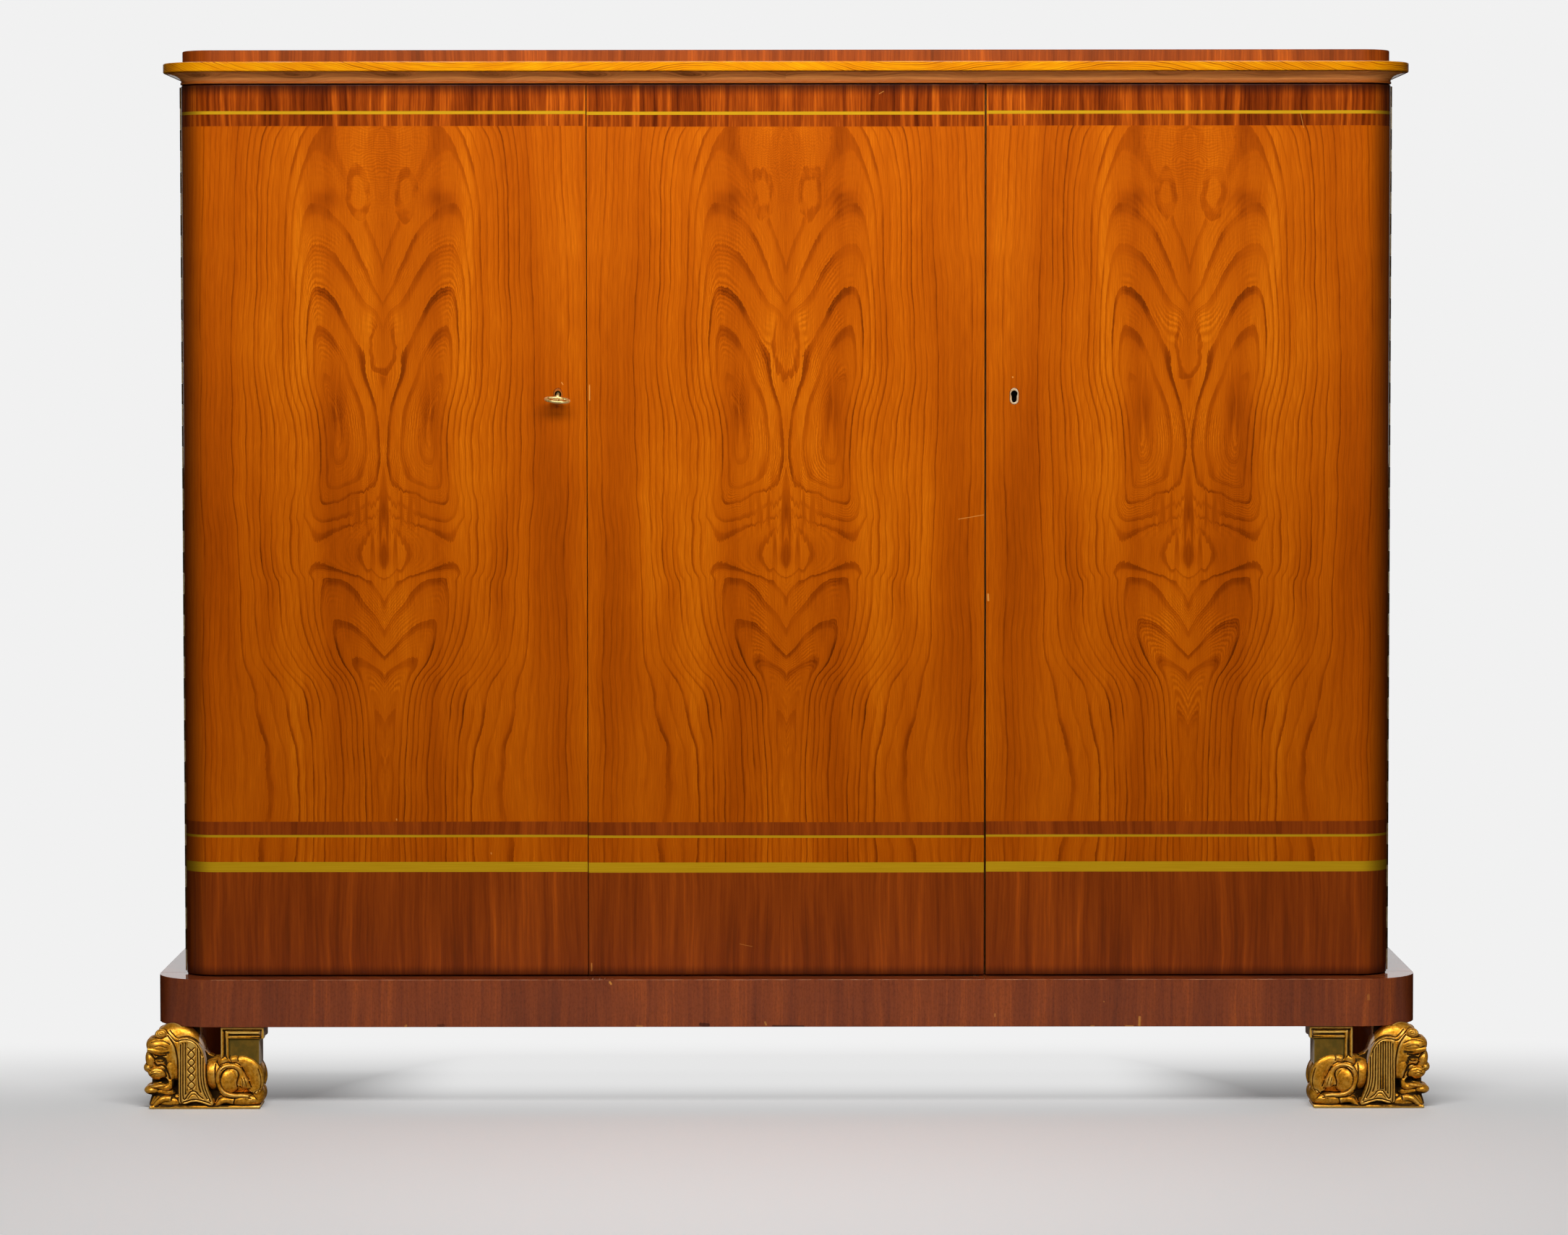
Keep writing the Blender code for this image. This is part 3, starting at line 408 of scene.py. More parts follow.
# %% Lamps
def softbox(name, place, aim, size, watts, mirrored=True):
    """A rectangular soft lamp that looks at a point. The varnish shows it unless mirrored is off."""
    bpy.ops.object.light_add(type="AREA", location=place)
    lamp = bpy.context.object
    lamp.name = name
    lamp.data.shape = "RECTANGLE"
    lamp.data.size, lamp.data.size_y = size
    lamp.data.energy = watts
    lamp.rotation_euler = (Vector(aim) - Vector(place)).to_track_quat("-Z", "Y").to_euler()
    lamp.visible_glossy = mirrored
    return lamp


def light_only(lamp, names):
    """Light linking: the lamp shines on the things with these names and passes by all others."""
    group = bpy.data.collections.new(lamp.name + "_lights")
    for name in names:
        group.objects.link(bpy.data.objects[name])
    lamp.light_linking.receiver_collection = group


softbox("key_lamp", (0.0, -1.9, 2.05), (0, 0, 1.25), (2.0, 0.6), 44.5)
softbox("fill_left", (-3.4, -3.2, 1.7), (0, 0, 0.7), (1.4, 2.0), 4, mirrored=False)
softbox("fill_right", (3.4, -3.2, 1.7), (0, 0, 0.7), (1.4, 2.0), 2.5, mirrored=False)
softbox("back_lamp", (0, 2.6, 3.4), (0, 0.4, 0.6), (3.2, 1.4), 40)
print("four lamps placed")

# %% [markdown]
# ## Figured elm, laid as a book
# The three doors show the same figure six times. The veneer was cut as a stack of thin leaves from one
# flitch, and each second leaf was turned over like the page of a book, so the grain mirrors about a
# line down the middle of every door. A picture of wood could be tiled, but it would repeat flatly.
# Here the growth rings are worked out: a ring shows where the cut is a given distance from the heart
# of the tree. Along the leaf the heart wanders to the side and comes closer, which draws the tall
# nested arches, and noise bends them like the real ones. PINGPONG folds the width into leaves.

# %% The figure of one leaf
LEAF_WIDTH = 0.279
FIELD_TOP = 1.3612
FIELD_LENGTH = 1.0
HEART_REACH = 0.12
RING_GAP = 0.02
# how far the heart of the tree lies to the side and below the cut, as (share of the length, share of reach)
HEART_ASIDE = [(0, 0.62), (0.1, 0.8), (0.17, 0.78), (0.28, 0.75), (0.34, 0.7), (0.42, 0.55), (0.48, 0.54),
               (0.52, 0.64), (0.56, 0.74), (0.595, 0.78), (0.63, 0.62), (0.68, 0.54), (0.735, 0.36),
               (0.795, 0.12), (0.88, 0.05), (1, 0.04)]
HEART_DEPTH = [(0, 0.98), (0.05, 0.93), (0.1, 0.83), (0.17, 0.665), (0.222, 0.5), (0.28, 0.335),
               (0.34, 0.16), (0.41, 0.05), (0.475, 0.165), (0.51, 0.4), (0.54, 0.62), (0.59, 0.83),
               (0.625, 0.665), (0.68, 0.5), (0.735, 0.335), (0.795, 0.165), (0.88, 0.05), (1, 0.04)]
# each spot is its place aside and down the leaf, its half width and its half height
EYE = (0.031, 0.096, 0.0165, 0.036)
TONGUE = (0.0, 0.300, 0.019, 0.050)
SHADOW = (0.078, 0.102, 0.022, 0.014)
RIPPLES = (0.0, 0.040, 0.050, 0.060)
PLAIN_MIDDLE = (0.0, 0.108, 0.024, 0.075)
BURL = (0.006, 0.290, 0.022, 0.046)
FLAME = (0.0, 0.548, 0.040, 0.055)
SPINDLE = (0.062, 0.395, 0.011, 0.050)
BOLD_SEED = 4.0

elm, taken, given = new_group(
    "figured_elm",
    {"Across": 0.0, "Height": 0.0, "Seed": 0.0},
    {"Colour": "Color", "Tone": "Float"},
)


def oval(recipe, aside, along, spot):
    """The distance from a spot, 1 on the oval that its half width and half height give."""
    left, down, half_width, half_height = spot
    wide = (aside - left) / half_width
    tall = (along - down) / half_height
    return recipe.length(wide, tall)


def hill(recipe, aside, along, spot):
    """A soft round hill, 1 at its top, at a spot given as place and half width, both ways."""
    far = oval(recipe, aside, along, spot)
    return recipe.math("EXPONENT", far * (far * -1.0))


folded = elm.math("PINGPONG", taken["Across"], LEAF_WIDTH)
down = FIELD_TOP - taken["Height"]
leaf = elm.vector(folded, down, taken["Seed"])
sheet = elm.vector(taken["Across"], down, taken["Seed"])

# the leaf bends: wide slow sways that both pages share, and small ones that each page has alone
aside = folded + elm.sway((folded, down * 0.6, 0.0), 6.0, 0.022)
aside += elm.sway(leaf, 13.0, 0.007)
aside += elm.sway(sheet, 5.0, 0.008)
along = down + elm.sway((down, folded, 4.2), 8.0, 0.03)
along += elm.sway((down, folded, 7.7), 26.0, 0.012)
tongues = elm.noise((folded * 120.0, down * 9.0, 5.0), 1.0, 2.0)
flame = hill(elm, folded, down, FLAME)
along += flame * ((tongues - 0.5) * 0.09)
scorch = flame * elm.step(tongues, 0.46, 0.60)
spindle = hill(elm, folded, down, SPINDLE) * elm.step(tongues, 0.40, 0.58)
scorch = elm.most(scorch, spindle * 0.8)

part = (along / FIELD_LENGTH).clamped()
heart_aside = elm.curve(part, HEART_ASIDE) * HEART_REACH
heart_depth = elm.curve(part, HEART_DEPTH) * HEART_REACH
calm = elm.step(folded, 0.10, 0.24)
heart_aside += calm * (0.08 - heart_aside)
offset = aside - heart_aside
outer = elm.most(offset, 0.0) / 0.40
sideways = outer + elm.least(offset, 0.0)
radius = elm.math("SQRT", sideways**2.0 + heart_depth**2.0)

# a ring is pale spring wood that darkens slowly and ends at a sharp line
ragged = elm.sway((folded * 4.0, down, 1.3), 150.0, 0.13, detail=3.0)
count = radius / RING_GAP + ragged
count -= hill(elm, aside, along, BURL) * 1.1
count += elm.sway((count, 0.0, 3.0), 0.7, 1.1)
ring = elm.math("FRACT", count)
late = elm.curve(ring, [(0, 0.0), (0.45, 0.05), (0.66, 0.2), (0.78, 0.78), (0.95, 1.0), (1, 0.8)])
bold = elm.chance(elm.math("FLOOR", count) + BOLD_SEED) ** 2.2 * 0.85 + 0.26
patchy = elm.step(elm.noise((folded * 3.0, down, 8.0), 9.0, 2.0), 0.30, 0.62)
line = late * bold * (patchy * 0.7 + 0.3)
line *= 1.0 - calm * 0.35

# two knots with a ring round them, and a tongue that hangs between the leaves
crooked = elm.sway(sheet, 26.0, 0.95, detail=4.0)
eye = oval(elm, aside, along, EYE) + crooked
tongue = oval(elm, folded, along, TONGUE) + crooked
eye_ring = elm.step(eye, 0.44, 0.60) * elm.step(eye, 1.04, 0.96)
tongue_ring = elm.step(tongue, 0.70, 0.84) * elm.step(tongue, 1.03, 0.98)
tongue_ring *= elm.step(along, 0.262, 0.286)
broken = elm.step(elm.noise(sheet, 42.0, 2.0), 0.38, 0.60)
eye_ring *= broken * 0.75 + 0.25
ripples = hill(elm, aside, along, RIPPLES)
middle = hill(elm, folded, along, PLAIN_MIDDLE)
line *= 1.0 - middle * 0.95
line *= 1.0 - ripples * 0.85
line *= elm.step(eye, 0.96, 1.15)
line *= elm.most(elm.step(tongue, 0.96, 1.1), elm.step(along, 0.30, 0.26))
line = elm.most(line, eye_ring * 0.42)
line = elm.most(line, tongue_ring * 0.50)
line = elm.most(line, hill(elm, aside, along, SHADOW) * 0.42)

# finer than the rings: pores as short dark dashes, and the silky fine lines beside them
pores = elm.noise((aside * 1000.0, down * 28.0, 2.0), 1.0, 3.0)
silk = elm.math("SINE", count * 52.0)
near_heart = elm.step(radius, 0.14, 0.06) * elm.step(elm.noise(leaf, 14.0, 2.0), 0.45, 0.65)
silk *= near_heart * 0.13 + 0.01
waves = elm.math("SINE", (along + elm.sway(leaf, 30.0, 0.03, detail=3.0)) * 1500.0)
silk += waves * ripples * 0.11
silk -= ripples * 0.10
clouds = elm.noise((taken["Across"] * 4.0, down, 5.0), 2.4, 3.0)
bands = elm.noise((aside * 22.0, down * 1.1, 9.0), 1.0, 3.0)
line = elm.most(line, scorch * 0.75)
tone = 0.70 - line * 0.66
tone += (pores - 0.5) * 0.55
tone += silk
tone += (bands - 0.5) * 0.85
tone = (tone + (clouds - 0.5) * 0.5).clamped()
elm_colour = elm.ramp(
    tone,
    (0.0, paint(117, 46, 1)),
    (0.30, paint(158, 66, 2)),
    (0.55, paint(187, 83, 3)),
    (0.78, paint(209, 100, 5)),
    (1.0, paint(234, 125, 12)),
)
elm.feed(given["Colour"], elm_colour)
elm.feed(given["Tone"], tone)
print("figured_elm has", len(elm.tree.nodes), "nodes")

# %% [markdown]
# ## Mahogany, cut across into bands
# The dark bands are mahogany laid with the grain upright, so they show as close vertical streaks from
# orange to deep red-brown. Each stretch of a band is its own slip of veneer, a hand wide, a little
# lighter or darker than its neighbours. Noise that is pulled out long along the grain makes the
# streaks, and a coarser noise shifts the slips.

# %% Mahogany streaks
mahogany, taken, given = new_group(
    "mahogany",
    {"Across": 0.0, "Along": 0.0, "Seed": 0.0, "Contrast": 1.0, "Spread": 1.0},
    {"Colour": "Color", "Tone": "Float"},
)
bend = mahogany.sway((taken["Across"], taken["Along"] * 0.6, taken["Seed"]), 9.0, 0.016)
across = (taken["Across"] + bend) / taken["Spread"]
broad = mahogany.noise((across * 70.0, taken["Along"] * 3.0, taken["Seed"]), 1.0, 3.0, 0.6)
narrow = mahogany.noise((across * 330.0, taken["Along"] * 7.0, taken["Seed"]), 1.0, 2.0, 0.6)
pores = mahogany.noise((across * 1400.0, taken["Along"] * 60.0, taken["Seed"]), 1.0, 2.0, 0.5)
slips = mahogany.noise((taken["Across"], 0.0, taken["Seed"]), 5.0, 2.0)
tone = 0.5 + (broad - 0.5) * 1.5
tone += (narrow - 0.5) * 0.8
tone += (pores - 0.5) * 0.3
tone += (slips - 0.5) * 0.9
tone -= 0.5
tone = (tone * taken["Contrast"] + 0.5).clamped()
mahogany_colour = mahogany.ramp(
    tone,
    (0.0, paint(92, 30, 2)),
    (0.35, paint(132, 50, 5)),
    (0.6, paint(160, 67, 9)),
    (0.82, paint(192, 86, 12)),
    (1.0, paint(216, 106, 18)),
)
mahogany.feed(given["Colour"], mahogany_colour)
mahogany.feed(given["Tone"], tone)
print("mahogany has", len(mahogany.tree.nodes), "nodes")

# %% [markdown]
# ## The doors
# From the top a door shows a mahogany band with a pale string let into it, the elm field, a narrow
# mahogany band, a fine string, a strip of elm, a wide olive-yellow band and a deep mahogany foot. All
# lie flush under one varnish, so they are one material and not six pieces: a mask for each band, cut
# by height. The outer doors wrap round the corners, so the width is measured along the surface.

# %% Door veneer
STRING_TOP = (1.3775, 1.3818)
FIELD = (0.3973, 1.3612)
FINE_STRING = (0.3755, 0.3788)
ELM_STRIP = (0.3411, 0.3755)
OLIVE_BAND = (0.3270, 0.3411)
BAND_STEP = 0.0010
CASE_ROUND = 0.045
VENEER = 0.0012


def varnish(shader, roughness=0.4, coat=0.4, coat_roughness=0.06):
    """The plain socket values of a hand-rubbed varnish."""
    shader["Roughness"].default_value = roughness
    shader["Specular IOR Level"].default_value = 0.015
    shader["Coat Weight"].default_value = coat
    shader["Coat Roughness"].default_value = coat_roughness


# each mark runs from one (x, z) to another on the door fronts, with its half width and strength
MARKS = {
    "chipped_left_seam": ((-0.2722, 1.0035), (-0.2722, 0.9830), 0.0008, 0.9),
    "chip_on_right_seam": ((0.2800, 0.7130), (0.2803, 0.7050), 0.0014, 0.9),
    "scratch_upper_right": ((0.7105, 1.3800), (0.7150, 1.3580), 0.0004, 0.6),
    "hooked_scratch": ((0.1290, 1.4050), (0.1350, 1.4085), 0.0005, 0.7),
    "nail_speck": ((0.3138, 1.0142), (0.3141, 1.0139), 0.0010, 0.9),
    "slanting_scratch": ((0.2390, 0.8175), (0.2740, 0.8235), 0.0005, 0.7),
    "nick_over_key": ((-0.3108, 1.0072), (-0.3090, 1.0045), 0.0007, 0.8),
    "nick_above_band": ((-0.5424, 0.4010), (-0.5422, 0.3996), 0.0009, 0.8),
    "nick_in_strip": ((-0.4110, 0.3537), (-0.4106, 0.3524), 0.0009, 0.8),
    "scrape_at_foot": ((-0.0650, 0.2260), (-0.0480, 0.2225), 0.0004, 0.5),
    "chip_low_left_seam": ((-0.2716, 0.1990), (-0.2716, 0.1890), 0.0009, 0.7),
}
BARE_WOOD = paint(238, 160, 70)


def build_mark_group():
    """How strongly a mark shows: the distance to a short line, against the mark's half width."""
    inputs = {"X": 0.0, "Z": 0.0, "From X": 0.0, "From Z": 0.0, "To X": 0.0, "To Z": 0.0, "Half": 0.001}
    mark, taken, given = new_group("mark", inputs, {"Mask": "Float"})
    run_x = taken["To X"] - taken["From X"]
    run_z = taken["To Z"] - taken["From Z"]
    far_x = taken["X"] - taken["From X"]
    far_z = taken["Z"] - taken["From Z"]
    dot = far_x * run_x + far_z * run_z
    long = run_x * run_x + run_z * run_z
    share = (dot / long).clamped()
    off_x = far_x - share * run_x
    off_z = far_z - share * run_z
    away = mark.length(off_x, off_z)
    frayed = mark.noise((taken["X"], 0.0, taken["Z"]), 900.0, 2.0)
    reach = away / (taken["Half"] * (frayed + 0.6))
    mark.feed(given["Mask"], mark.step(reach, 1.2, 0.6))


def add_marks(recipe, colour, x, z, marks, bare=BARE_WOOD):
    """Mixes bare wood into a colour wherever a mark has taken the polish away."""
    for start, end, half, strength in marks.values():
        ends = {"From X": start[0], "From Z": start[1], "To X": end[0], "To Z": end[1]}
        shown = recipe.group("mark", X=x, Z=z, Half=half, **ends)
        colour = recipe.mix(shown["Mask"] * strength, colour, bare)
    return colour


build_mark_group()


def below_face(recipe, x, y):
    """How deep a point lies below the outer face of the case, which is rounded at its front corners."""
    flat_half = CASE_HALF - CASE_ROUND
    aside = recipe.most(abs(x) - flat_half, 0.0)
    ahead = recipe.most(FRONT + CASE_ROUND - y, 0.0)
    return CASE_ROUND - recipe.length(aside, ahead)


def build_door_veneer(name, sideways=False):
    """The doors' veneer, or with sideways the same veneer laid along the side of the case."""
    material, recipe, shader = new_material(name)
    x, y, z = recipe.split(recipe.place())
    if sideways:
        across = y + 0.05
        height = z
    else:
        across = abs(x) + (y - FRONT)
        middle = recipe.band(x, LEFT_SEAM, RIGHT_SEAM)
        height = z + middle * BAND_STEP
    height += recipe.sway((x, y, 0.0), 2.0, 0.0008)
    page = recipe.step(x, -0.1, 0.1) * 0.6
    field = recipe.group("figured_elm", Across=across, Height=z, Seed=page)
    upper = recipe.group("mahogany", Across=across, Along=z, Seed=2.0, Contrast=1.5)
    lower = recipe.group("mahogany", Across=across, Along=z, Seed=6.0, Contrast=0.8)
    # painted reflection: a little greyish tan is mixed into the lower band for the pale floor that its
    # varnish mirrors
    lower_with_floor_sheen = recipe.mix(0.16, lower["Colour"], paint(176, 92, 40))
    colour = recipe.mix(recipe.step(z, 0.7, 0.71), lower_with_floor_sheen, upper["Colour"])
    elm_mask = recipe.most(recipe.band(height, *FIELD), recipe.band(height, *ELM_STRIP))
    colour = recipe.mix(elm_mask, colour, field["Colour"])
    string_mask = recipe.most(recipe.band(height, *STRING_TOP), recipe.band(height, *FINE_STRING))
    string_mask = recipe.most(string_mask, recipe.band(height, *OLIVE_BAND))
    streaks = recipe.noise((across * 12.0, z * 900.0, 0.0), 1.0, 3.0)
    pale = recipe.mix(streaks, paint(196, 146, 8), paint(226, 178, 34))
    colour = recipe.mix(string_mask, colour, pale)
    if not sideways:
        colour = add_marks(recipe, colour, x, z, MARKS)
        # painted shade: the veneer is darkened where the cornice casts its shadow, along the foot, and
        # round the corners where the fronts turn away from the lamp
        cornice_shadow = recipe.step(z, DOOR_TOP - 0.018, DOOR_TOP) * 0.80
        colour = recipe.mix(cornice_shadow, colour, paint(40, 18, 12))
        # painted shade along the foot of the doors, over the shadow gap above the plinth
        foot = recipe.step(z, DOOR_FOOT + 0.016, DOOR_FOOT - 0.002) * 0.75
        colour = recipe.mix(foot, colour, paint(40, 12, 3))
        corner_shade = recipe.step(abs(x), CASE_HALF - 0.041, CASE_HALF - 0.006)
        colour = recipe.mix(corner_shade * 0.56, colour, paint(44, 20, 6))
    # the veneer is a thin skin: the edges and the backs are plain mahogany
    plain = recipe.group("mahogany", Across=x + y, Along=z, Seed=14.0, Contrast=0.45)
    plain = recipe.mix(0.25, plain["Colour"], paint(196, 120, 60))
    depth = below_face(recipe, x, y)
    colour = recipe.mix(recipe.step(depth, VENEER, VENEER + 0.0004), colour, plain)
    recipe.feed(shader["Base Color"], colour)
    varnish(shader)
    ripples = recipe.noise((across * 500.0, z * 30.0, 0.0), 1.0, 2.0)
    recipe.feed(shader["Normal"], recipe.relief(ripples, 0.00006, 0.5))
    return material


door_veneer = build_door_veneer("door_veneer")
side_veneer = build_door_veneer("side_veneer", sideways=True)
print("door veneer made")


# %% [markdown]
# ## Eased edges
# In the CAD an edge is perfectly sharp and a round is a row of flat strips. On the real cabinet every
# edge was rubbed down by hand, so it catches a thin line of light. The mesh of a CAD node has to stay
# as it is, so each board gets a stand-in: a copy with its loose triangles joined up, a fine bevel
# along its sharp edges, and smooth shading over its rounds.

# %% Finish helpers
def deselect():
    """Nothing stays selected or active in edit mode, so an operator can't touch a CAD node."""
    for thing in bpy.context.selected_objects:
        thing.select_set(False)
    bpy.context.view_layer.objects.active = None


def pick(thing):
    """Only this object is selected and active."""
    deselect()
    thing.select_set(True)
    bpy.context.view_layer.objects.active = thing


@contextmanager
def editing(thing):
    """Inside this block the whole mesh is selected in edit mode."""
    pick(thing)
    bpy.ops.object.mode_set(mode="EDIT")
    bpy.ops.mesh.select_all(action="SELECT")
    yield
    bpy.ops.object.mode_set(mode="OBJECT")


def modify(thing, kind, **settings):
    """Adds a modifier, sets it and applies it."""
    pick(thing)
    modifier = thing.modifiers.new(kind.lower(), kind)
    for name, value in settings.items():
        setattr(modifier, name, value)
    bpy.ops.object.modifier_apply(modifier=modifier.name)


def settle(thing):
    """Puts place, turn and scale into the mesh."""
    pick(thing)
    bpy.ops.object.transform_apply(location=True, rotation=True, scale=True)
    return thing


def join(name, forms):
    """Several objects become one."""
    deselect()
    for form in forms:
        form.select_set(True)
    bpy.context.view_layer.objects.active = forms[0]
    bpy.ops.object.join()
    bpy.context.object.name = name
    return bpy.context.object


def finish(material, names, rub=0.0005, rounds=2):
    """Puts a finish on CAD nodes, and gives each one a stand-in whose edges are rubbed round."""
    for name in names:
        node = nodes[name]
        dress(node, material)
        eased = bpy.data.objects.new(name + "_eased", node.data.copy())
        bpy.context.collection.objects.link(eased)
        with editing(eased):
            bpy.ops.mesh.remove_doubles(threshold=0.00001)
            bpy.ops.mesh.dissolve_limited(angle_limit=math.radians(0.5))
        sharp = {"limit_method": "ANGLE", "angle_limit": math.radians(35)}
        modify(eased, "BEVEL", width=rub, segments=rounds, **sharp)
        bpy.ops.object.shade_smooth_by_angle(angle=math.radians(50))
        # the broad faces keep their own direction, so that their reflections stay flat
        modify(eased, "WEIGHTED_NORMAL", keep_sharp=True)
        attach(eased, body_of(node)[0])
        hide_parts(name)
        print(eased.name, len(eased.data.polygons), "faces,", material.name)


finish(door_veneer, ["left_door", "middle_door", "right_door"], rub=0.0007)
finish(side_veneer, ["side_left", "side_right"])


# %% Solid mahogany, and plain boards
def build_mahogany(name, axis, seed, contrast, shade=None, shade_by=0.0):
    """Mahogany with the grain along one axis of the frame: the streaks vary over the other two."""
    material, recipe, shader = new_material(name)
    parts = recipe.split(recipe.place())
    others = [part for number, part in enumerate(parts) if number != axis]
    across = others[0] + others[1] * 0.73
    wood = recipe.group("mahogany", Across=across, Along=parts[axis], Seed=seed, Contrast=contrast)
    colour = wood["Colour"]
    if shade:
        colour = recipe.mix(shade_by, colour, shade)
    recipe.feed(shader["Base Color"], colour)
    varnish(shader)
    return material, recipe, shader


def build_board(name, axis, seed):
    """Plain pale oak with the grain along one axis: growth rings that run nearly straight, and pores."""
    material, recipe, shader = new_material(name)
    parts = recipe.split(recipe.place())
    others = [part for number, part in enumerate(parts) if number != axis]
    across = others[0] + others[1] * 1.37
    along = parts[axis]
    bent = across + recipe.sway((across * 3.0, along * 0.8, seed), 2.2, 0.07)
    rings = recipe.math("FRACT", bent / 0.017)
    late = recipe.curve(rings, [(0, 0.0), (0.5, 0.12), (0.85, 0.9), (0.95, 1.0), (1, 0.2)])
    pores = recipe.noise((bent * 900.0, along * 16.0, seed), 1.0, 3.0)
    broad = recipe.noise((bent * 9.0, along, seed), 1.6, 2.0)
    tone = 0.62 - late * 0.22
    tone += (pores - 0.5) * 0.7
    tone = (tone + (broad - 0.5) * 0.8).clamped()
    stops = (0.0, paint(122, 76, 34)), (0.5, paint(178, 124, 66)), (1.0, paint(214, 166, 104))
    colour = recipe.ramp(tone, *stops)
    recipe.feed(shader["Base Color"], colour)
    varnish(shader, roughness=0.5, coat=0.15, coat_roughness=0.3)
    return material


# %% The plinth, its wear and its painted light
# on the front each mark is (x, z) to (x, z); on the ledge under the doors it is (x, y) to (x, y)
PLINTH_CHIPS = {
    "chip_below_ledge": ((-0.2450, 0.1775), (-0.2434, 0.1750), 0.0014, 1.0),
    "chip_at_foot_right": ((0.4893, 0.1280), (0.4889, 0.1170), 0.0017, 0.8),
    "foot_scuffs_right": ((0.4700, 0.1158), (0.4800, 0.1156), 0.0011, 0.7),
    "foot_scuff_far_right": ((0.4220, 0.1156), (0.4260, 0.1156), 0.0011, 0.6),
    "foot_scuff_middle": ((-0.0300, 0.1215), (-0.0285, 0.1180), 0.0012, 0.6),
    "foot_scuff_left": ((-0.2080, 0.1165), (-0.2000, 0.1160), 0.0010, 0.5),
    "foot_scuff_far_left": ((-0.5285, 0.1160), (-0.5275, 0.1172), 0.0016, 0.5),
    "long_foot_scuff": ((0.2010, 0.1152), (0.2450, 0.1152), 0.0006, 0.7),
    "tick_right": ((0.2888, 0.1330), (0.2886, 0.1290), 0.0006, 0.8),
    "speck_right": ((0.4398, 0.1500), (0.4399, 0.1496), 0.0008, 0.8),
    "worn_corner": ((0.8065, 0.1580), (0.8068, 0.1530), 0.0020, 0.35),
    "worn_corner_left": ((-0.8130, 0.1750), (-0.8126, 0.1700), 0.0032, 0.22),
}
DARK_CHIPS = {
    "dent_at_foot": ((-0.1190, 0.1185), (-0.1090, 0.1175), 0.0026, 0.7),
    "frayed_foot": ((-0.0190, 0.1162), (0.0230, 0.1158), 0.0014, 0.7),
    "dent_far_left": ((-0.4830, 0.1170), (-0.4760, 0.1175), 0.0020, 0.5),
}
LEDGE_SCRATCHES = {
    "first": ((-0.2690, -0.2270), (-0.2690, -0.2120), 0.0011, 0.6),
    "second": ((-0.2655, -0.2190), (-0.2560, -0.2200), 0.0008, 0.5),
    "third": ((-0.2600, -0.2270), (-0.2590, -0.2100), 0.0008, 0.5),
    "fourth": ((-0.2530, -0.2260), (-0.2520, -0.2110), 0.0008, 0.5),
    "fifth": ((-0.2480, -0.2230), (-0.2410, -0.2180), 0.0008, 0.4),
}


def build_plinth_wood():
    """Mahogany with a painted reflection of the pale floor, a pale top edge that is partly wear and partly
    painted highlight, chipped at its foot.
    """
    # painted reflection: a greyish pink mixed into the mahogany stands for the pale floor mirrored in the
    # varnish
    shade = paint(186, 106, 72)
    material, recipe, shader = build_mahogany("plinth_mahogany", 2, 11.0, 0.95, shade, 0.30)
    x, y, z = recipe.split(recipe.place())
    colour = shader["Base Color"].links[0].from_socket
    mottle = recipe.step(recipe.noise((x, z * 0.5, y), 420.0, 3.0, 0.7), 0.40, 0.75) * 0.30
    colour = recipe.mix(mottle, colour, paint(70, 26, 10))
    front = recipe.step(y, PLINTH_LOW.y + 0.002, PLINTH_LOW.y + 0.001)
    colour = add_marks(recipe, colour, x, z, DARK_CHIPS, paint(52, 18, 8))
    colour = recipe.mix(front, colour, add_marks(recipe, colour, x, z, PLINTH_CHIPS))
    on_ledge = recipe.step(z, PLINTH_HIGH.z - 0.0010, PLINTH_HIGH.z - 0.0006)
    scratched = add_marks(recipe, colour, x, y, LEDGE_SCRATCHES, paint(214, 176, 140))
    colour = recipe.mix(on_ledge, colour, scratched)
    # the front arris of the ledge is lightened in broken stretches: partly wear, partly a painted highlight
    # along the edge
    arris_glint = on_ledge * recipe.step(y, PLINTH_LOW.y + 0.0024, PLINTH_LOW.y + 0.0008)
    rubbed = recipe.step(recipe.noise((x, 0.0, 3.0), 34.0, 4.0), 0.36, 0.62)
    colour = recipe.mix(arris_glint * (rubbed * 0.75), colour, paint(206, 148, 108))
    recipe.feed(shader["Base Color"], colour)
    shader["Coat Weight"].default_value = 0.9
    return material


# %% [markdown]
# ## The cornice
# The cove is veneered in walnut: on its left half one short leaf with a dark eye comes back every hand
# and a half, as the leaves of a flitch do. The thin slab above it is elm, cut so that its rings run
# out over the edge at a low angle. For both, the length is measured along the surface, round the
# corners, and the rings are lines of equal height that a slow noise pushes up and down.

# %% Cornice woods
COVE_LEAF = 0.137
COVE_EYE = (0.55, 0.72)


def along_cornice(recipe, x, y, front):
    """The length along the front of a moulding, carried on round its corners."""
    return x + (y - front) * recipe.math("SIGN", x)


